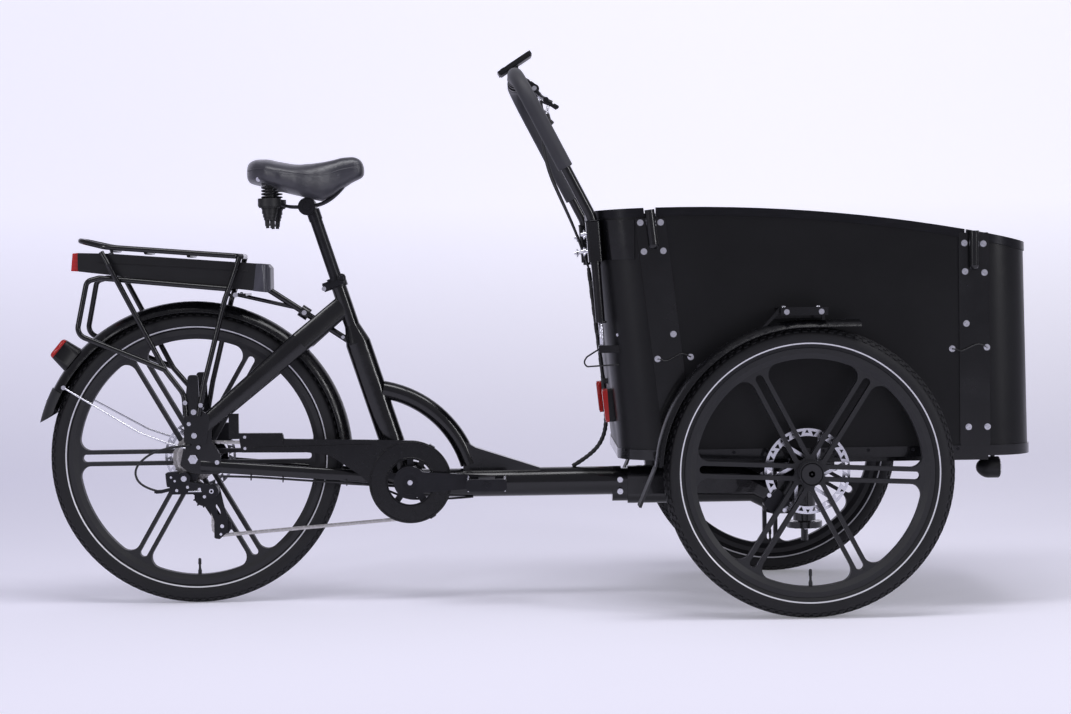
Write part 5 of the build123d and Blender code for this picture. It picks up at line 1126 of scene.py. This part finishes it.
# Two red reflectors on the back panel, each a prismatic acrylic lens on a black foot.
outer_skin = Vector((0.1803, 0, 0.438))
backward = Vector((-1, 0, -0.0625))
fit(slice_of("reflector_lenses", "box_reflectors", outer_skin, backward, 0.0), lens, "front_unit",
    "box_reflectors")
fit(slice_of("reflector_feet", "box_reflectors", outer_skin, -backward, 0.0), case, "front_unit",
    "box_reflectors")
back_way = Vector((-0.527, 0, -0.0548)).normalized()
up_way = Vector((-0.0548, 0, 0.527)).normalized()
for side, end in sides:
    face = block((0.0015, 0.027, 0.064), (0, 0, 0), 0.0006, 2)
    turn = Matrix((-back_way, Vector((0, 1, 0)), up_way)).transposed().to_4x4()
    middle = Vector((back_x(0.439), side * 0.185, 0.439)) + back_way * 0.0203
    face.data.transform(Matrix.Translation(middle) @ turn)
    fit(join([face], f"reflector_lens_{end}"), lens, "front_unit")
dress(coat, "box_hook")


# ---------------------------------------------------------------- Chassis, calipers and front mudguards
# The steered chassis is a welded ladder of coated tube with an axle beam across it. Its end plates carry stub
# axles, each with a two-piston brake caliper bolted behind the wheel.
bolts = []
for side in (-1, 1):
    for dx, dz in ((-0.082, -0.048), (-0.050, -0.080)):
        bolts.append(turned(0.0046, 0.0012, (front_x + dx, side * 0.380, front_z + dz), (0, side, 0), 18,
            (0.0008, 0.0014), (0.0014, -0.0012)))
    for dx in (-0.016, 0.016):
        bolts.append(turned(0.0050, 0.0014, (front_x + dx, side * 0.1852, front_z + 0.012), (0, side, 0), 6,
            (0.0010, 0.0008)))
turntable_x = front_x + 0.036
for i in range(8):
    angle = 2 * pi * i / 8
    spot = (turntable_x + 0.031 * cos(angle), 0.031 * sin(angle), bottom("front_chassis").z + 0.0302)
    bolts.append(turned(0.0040, 0.0012, spot, (0, 0, -1), 12, (0.0008, 0.0008), (0.0012, -0.0008)))
fit(join(bolts, "chassis_bolts"), steel, "front_unit")
hoses = []
for side in (-1, 1):
    hose = turned(0.0030, 0.016, (front_x - 0.066, side * 0.352, front_z - 0.040), (0.2, -side * 0.6, 1), 14,
        (0.0004, 0.0006), (0.0008, 0.004))
    hoses.append(hose)
fit(join(hoses, "caliper_unions"), black_alloy, "front_unit")

# Mudguards of glossy moulded plastic with rolled edges, a small bolted plate over the top, and two legs.
edges = []
for side in (-1, 1):
    for edge in (-0.0318, 0.0318):
        middle = Vector((front_x - 0.004, side * 0.400 + edge, front_z))
        arc = [middle + 0.3035 * toward(176 - 86 * i / 20) for i in range(21)]
        arc += [middle + Vector((reach, 0, 0.3035)) for reach in (0.040, 0.080, 0.110)]
        edges.append(bead_along("edge", arc, 0.0026))
fit(join(edges, "front_mudguard_edges"), guard_plastic, "front_unit")
bolts = []
for side in (-1, 1):
    for x in (front_x - 0.046, front_x + 0.026):
        bolts.append(turned(0.0058, 0.0010, (x, side * 0.4252, 0.6385), (0, side, 0), 20, (0.0008, 0.0014),
            (0.0012, 0.0006), (0.0010, -0.0014)))
        bolts.append(turned(0.0052, 0.0010, (x, side * 0.368, 0.6478), (0, 0, 1), 20, (0.0008, 0.0012),
            (0.0016, -0.0008)))
    bolts.append(turned(0.0046, 0.0010, (front_x + 0.032, side * 0.400, 0.6300), (1, 0, 0), 16,
        (0.0008, 0.0012)))
fit(join(bolts, "mudguard_bolts"), steel, "front_unit")
for side, end in sides:
    hub_bolts = []
    for i in range(6):
        angle = radians(60 * i + 30)
        spot = (front_x + 0.0205 * cos(angle), side * 0.4378, front_z + 0.0205 * sin(angle))
        hub_bolts.append(turned(0.0022, 0.0010, spot, (0, side, 0), 10, (0.0004, 0.0006)))
    fit(join(hub_bolts, f"front_wheel_{end}_hub_screws"), black_alloy, f"front_wheel_{end}")


# ---------------------------------------------------------------- Handlebar, grips and levers
# A bent steel bar in gloss coat, sleeved in long closed-cell foam grips; forged levers, a gear shifter and
# a tilted display are clamped on it, and both legs drop into clamp blocks pinched by bright wing bolts.
foam, place = blank("closed_cell_foam_rubber")
# cut cells about 1.5 mm across pit the skin, which hands have polished in places
cells = cellular(foam, place, 640.0)
pits = bump(foam, cells, 0.35, 0.0003)
hold = noise(foam, place, 26.0, 3.0)
tone = between(foam, hold, "#222227", "#303037")
matt = ramp(foam, hold, 0.52, 0.74)
principled(foam, {"Base Color": tone, "Roughness": matt, "Normal": pits, "Sheen Weight": 0.1})
dress(foam, "grips")

bar_top_x, bar_top_z = front_x - 0.599, 1.152
knee_x, knee_z = front_x - 0.440, 0.842
leg_y = 0.262
leg_way = Vector((knee_x - bar_top_x, 0, knee_z - bar_top_z)).normalized()


def on_leg(z, side):
    """A point of a leg's middle line, above its knee, at a height."""
    down = (bar_top_z - z) / (bar_top_z - knee_z)
    return Vector((bar_top_x + (knee_x - bar_top_x) * down, side * leg_y, z))


# foam collars close the grips, and two bright bands mark the left one near the corner of the bar
for side, low, end in ((-1, 0.949, "right"), (1, 0.895, "left")):
    for i, z in enumerate((1.108, 1.100) if side > 0 else ()):
        ring(f"grip_ring_{i}", 0.0164, 0.0011, on_leg(z, side), leg_way, steel, "front_unit")
    ring(f"grip_end_{end}", 0.0135, 0.0022, on_leg(low + 0.001, side), leg_way, foam, "front_unit")
    ring(f"grip_inner_{end}", 0.0135, 0.0022, Vector((bar_top_x, side * 0.1210, bar_top_z)), (0, side, 0),
        foam, "front_unit")

# Each brake lever is held by a turned band and pod; the shifter and the bell stand beside the right one.
lever_way = Vector((43, 0, -24)).normalized()
bodies, bright = [], []
for side in (-1, 1):
    bodies.append(turned(0.0168, 0.012, (bar_top_x, side * 0.066, bar_top_z), (0, side, 0), 32,
        (0.001, 0.001)))
    pod = turned(0.0150, 0.011, Vector((bar_top_x, side * 0.066, bar_top_z)) + lever_way * 0.018, lever_way,
        28, (0.0015, 0.0020), (0.0040, 0.0012))
    bodies.append(pod)
    pivot = Vector((bar_top_x, side * 0.110, bar_top_z)) + lever_way * 0.048
    bright.append(turned(0.0052, 0.0016, pivot + Vector((0, side * 0.0062, 0)), (0, side, 0), 20,
        (0.0008, 0.0012), (0.0014, -0.0012)))
    adjuster = Vector((bar_top_x + 0.052, side * 0.100, bar_top_z - 0.034))
    bright.append(turned(0.0040, 0.0100, adjuster, (0.25, 0, -1), 14, (0.0004, 0.0008), (0.0008, 0.0050)))
blade_end = Vector((bar_top_x + 0.065, -0.215, bar_top_z - 0.055))
for side in (-1, 1):
    bodies.append(turned(0.0062, 0.0040, (blade_end.x, side * (abs(blade_end.y) - 0.003), blade_end.z),
        (0.1, side, -0.1), 18, (0.0012, 0.0012), (0.0016, 0.0006)))
bodies.append(block((0.030, 0.010, 0.0045), Vector((bar_top_x + 0.044, -0.066, bar_top_z - 0.030)), 0.0020, 3,
    (0, radians(30), 0)))
fit(join(bodies, "bar_controls"), black_alloy, "front_unit")
bell = turned(0.0165, 0.004, (bar_top_x + 0.028, -0.040, bar_top_z - 0.016), (0.87, 0, -0.49), 40,
    (0.0006, 0.0040), (0.0022, 0.0034), (0.0040, 0.0022), (0.0060, 0.0008))
fit(join([bell], "bell"), black_alloy, "front_unit")
bright.append(turned(0.0040, 0.0050, (bar_top_x + 0.0395, -0.040, bar_top_z - 0.0225), (0.87, 0, -0.49), 16,
    (0.0008, 0.0008)))
fit(join(bright, "lever_screws"), steel, "front_unit")
# the shifter's thumb lever stands before the right leg; a bright barrel and a boot lead its cable out
thumb = [turned(0.0070, 0.020, (0.050, -0.112, 1.103), (0.55, 0, -0.25), 24, (0.0012, 0.0012)),
    turned(0.0042, 0.024, (0.060, -0.112, 1.098), (0.80, 0, -0.55), 20, (0.0008, 0.0010)),
    block((0.014, 0.010, 0.008), (0.078, -0.112, 1.089), 0.0030, 3, (0, radians(32), 0))]
fit(join(thumb, "shifter_thumb_lever"), black_alloy, "front_unit")
barrel = turned(0.0036, 0.018, (0.0605, -0.112, 1.090), (-0.10, 0, -1), 20, (0.0008, 0.0010),
    (0.0012, -0.0008))
fit(join([barrel], "shifter_barrel"), steel, "front_unit")
boot = turned(0.0052, 0.016, (0.0585, -0.112, 1.073), (0.25, 0, -1), 20, (0.0012, 0.0012))
knob = turned(0.0062, 0.008, (0.0635, -0.112, 1.056), (0.6, 0, -0.6), 20, (0.0012, 0.0012))
fit(join([boot, knob], "shifter_boot"), pvc, "front_unit")

# Behind each clamp block two pinch bolts end in wing nuts, and a collar caps the block around the leg.
wings, collars = [], []
clamp_back = bottom("handlebar_mounts").x
for side in (-1, 1):
    for z in (0.770, 0.806):
        start = Vector((clamp_back + 0.004, side * 0.272, z))
        wings.append(turned(0.0038, 0.014, start, (-1, 0, 0), 14, (0.0006, 0.0006)))
        nut = turned(0.0068, 0.0050, start + Vector((-0.004, 0, 0)), (-1, 0, 0), 16, (0.0012, 0.0010))
        wing = block((0.0032, 0.0260, 0.0075), start + Vector((-0.0075, 0, 0)), 0.0014, 2,
            (radians(35), 0, 0))
        wings += [nut, wing]
    collars.append(ring("collar", 0.0140, 0.0020, Vector((knee_x + 0.0006, side * leg_y, 0.8345)),
        (0.07, 0, -1), black_alloy, "front_unit"))
fit(join(wings, "clamp_wing_bolts"), steel, "front_unit")
fit(join(collars, "clamp_collars"), black_alloy, "front_unit")
rod_piece = slice_of("strut_bright_rod", "strut_rod", (0, 0, 0.5702), (0, 0, 1), 0.0)
fit(rod_piece, steel, "front_unit", "strut_rod")
foot_piece = slice_of("strut_foot", "strut_rod", (0, 0, 0.5702), (0, 0, -1), 0.0)
fit(foot_piece, coat, "front_unit", "strut_rod")
ring("strut_seal", 0.0062, 0.0024, Vector((front_x - 0.41995, -leg_y, 0.6194)), (0.07, 0, -1), nylon,
    "front_unit")


# ---------------------------------------------------------------- Display and headlamp
# The display is a tilted ABS case with a hard-coated window and three rubber keys; the headlamp is a turned
# housing with a bright reflector behind a clear domed lens.
window, place = blank("hard_coated_black_glass")
smears = noise(window, place, 60.0, 5.0)
wiped = ramp(window, smears, 0.04, 0.16)
principled(window, {"Base Color": paint("#0b0c0f"), "Roughness": wiped})
tilt = radians(-33)
case_middle = Vector((bar_top_x, 0, bar_top_z + 0.039))


def on_case(size, x, y, z, bevel, material, name):
    """A piece on the display's case: its place is given along, across and above the middle of the case."""
    piece = block(size, (0, 0, 0), bevel, 3)
    shift = Vector((x, y, z))
    shift.rotate(Euler((0, tilt, 0)))
    piece.data.transform(placed(case_middle + shift, tilt))
    piece.name = name
    return fit(piece, material, "front_unit")


on_case((0.056, 0.070, 0.0010), 0.010, 0, 0.0048, 0.0004, window, "display_window")
keys = [on_case((0.010, 0.016, 0.0022), -0.030, y, 0.0050, 0.0009, pvc, "key") for y in (-0.022, 0, 0.022)]
fit(join(keys, "display_keys"), pvc, "front_unit")
on_case((0.080, 0.074, 0.0030), 0, 0, -0.0055, 0.0012, case, "display_back")

mirror, place = blank("vacuum_metallised_reflector")
ripple = cellular(mirror, place, 260.0)
facet = bump(mirror, ripple, 0.5, 0.0008)
principled(mirror, {"Base Color": paint("#e6e6ea"), "Metallic": 1.0, "Roughness": 0.12, "Normal": facet})
clear, place = blank("clear_polycarbonate")
ribs = node(clear, "ShaderNodeSeparateXYZ", {0: place})
flutes = maths(clear, "MULTIPLY", ribs.outputs["Y"], 2 * pi / 0.004)
wave = maths(clear, "SINE", flutes)
optic = bump(clear, wave, 0.3, 0.0005)
principled(clear, {"Base Color": paint("#f4f4f6"), "Roughness": 0.05, "Transmission Weight": 0.9, "IOR": 1.58,
    "Normal": optic})
lamp_face = top("headlamp").x
lamp_z = bottom("headlamp").z + 0.024
bowl = turned(0.0205, 0.0006, (lamp_face, 0, lamp_z), (1, 0, 0), 40, (0.0012, 0.0002))
fit(join([bowl], "headlamp_reflector"), mirror, "front_unit")
glass = turned(0.0222, 0.0016, (lamp_face + 0.0010, 0, lamp_z), (1, 0, 0), 40, (0.0020, 0.0012),
    (0.0040, 0.0012), (0.0060, 0.0006))
fit(join([glass], "headlamp_lens"), clear, "front_unit")
ring("headlamp_rim", 0.0228, 0.0012, Vector((lamp_face + 0.0004, 0, lamp_z)), (1, 0, 0), case, "front_unit")
nut = turned(0.0070, 0.0040, (lamp_face - 0.0116, 0, 0.3255), (0, 0, -1), 6, (0.0010, 0.0004))
fit(join([nut], "headlamp_nut"), steel, "front_unit")
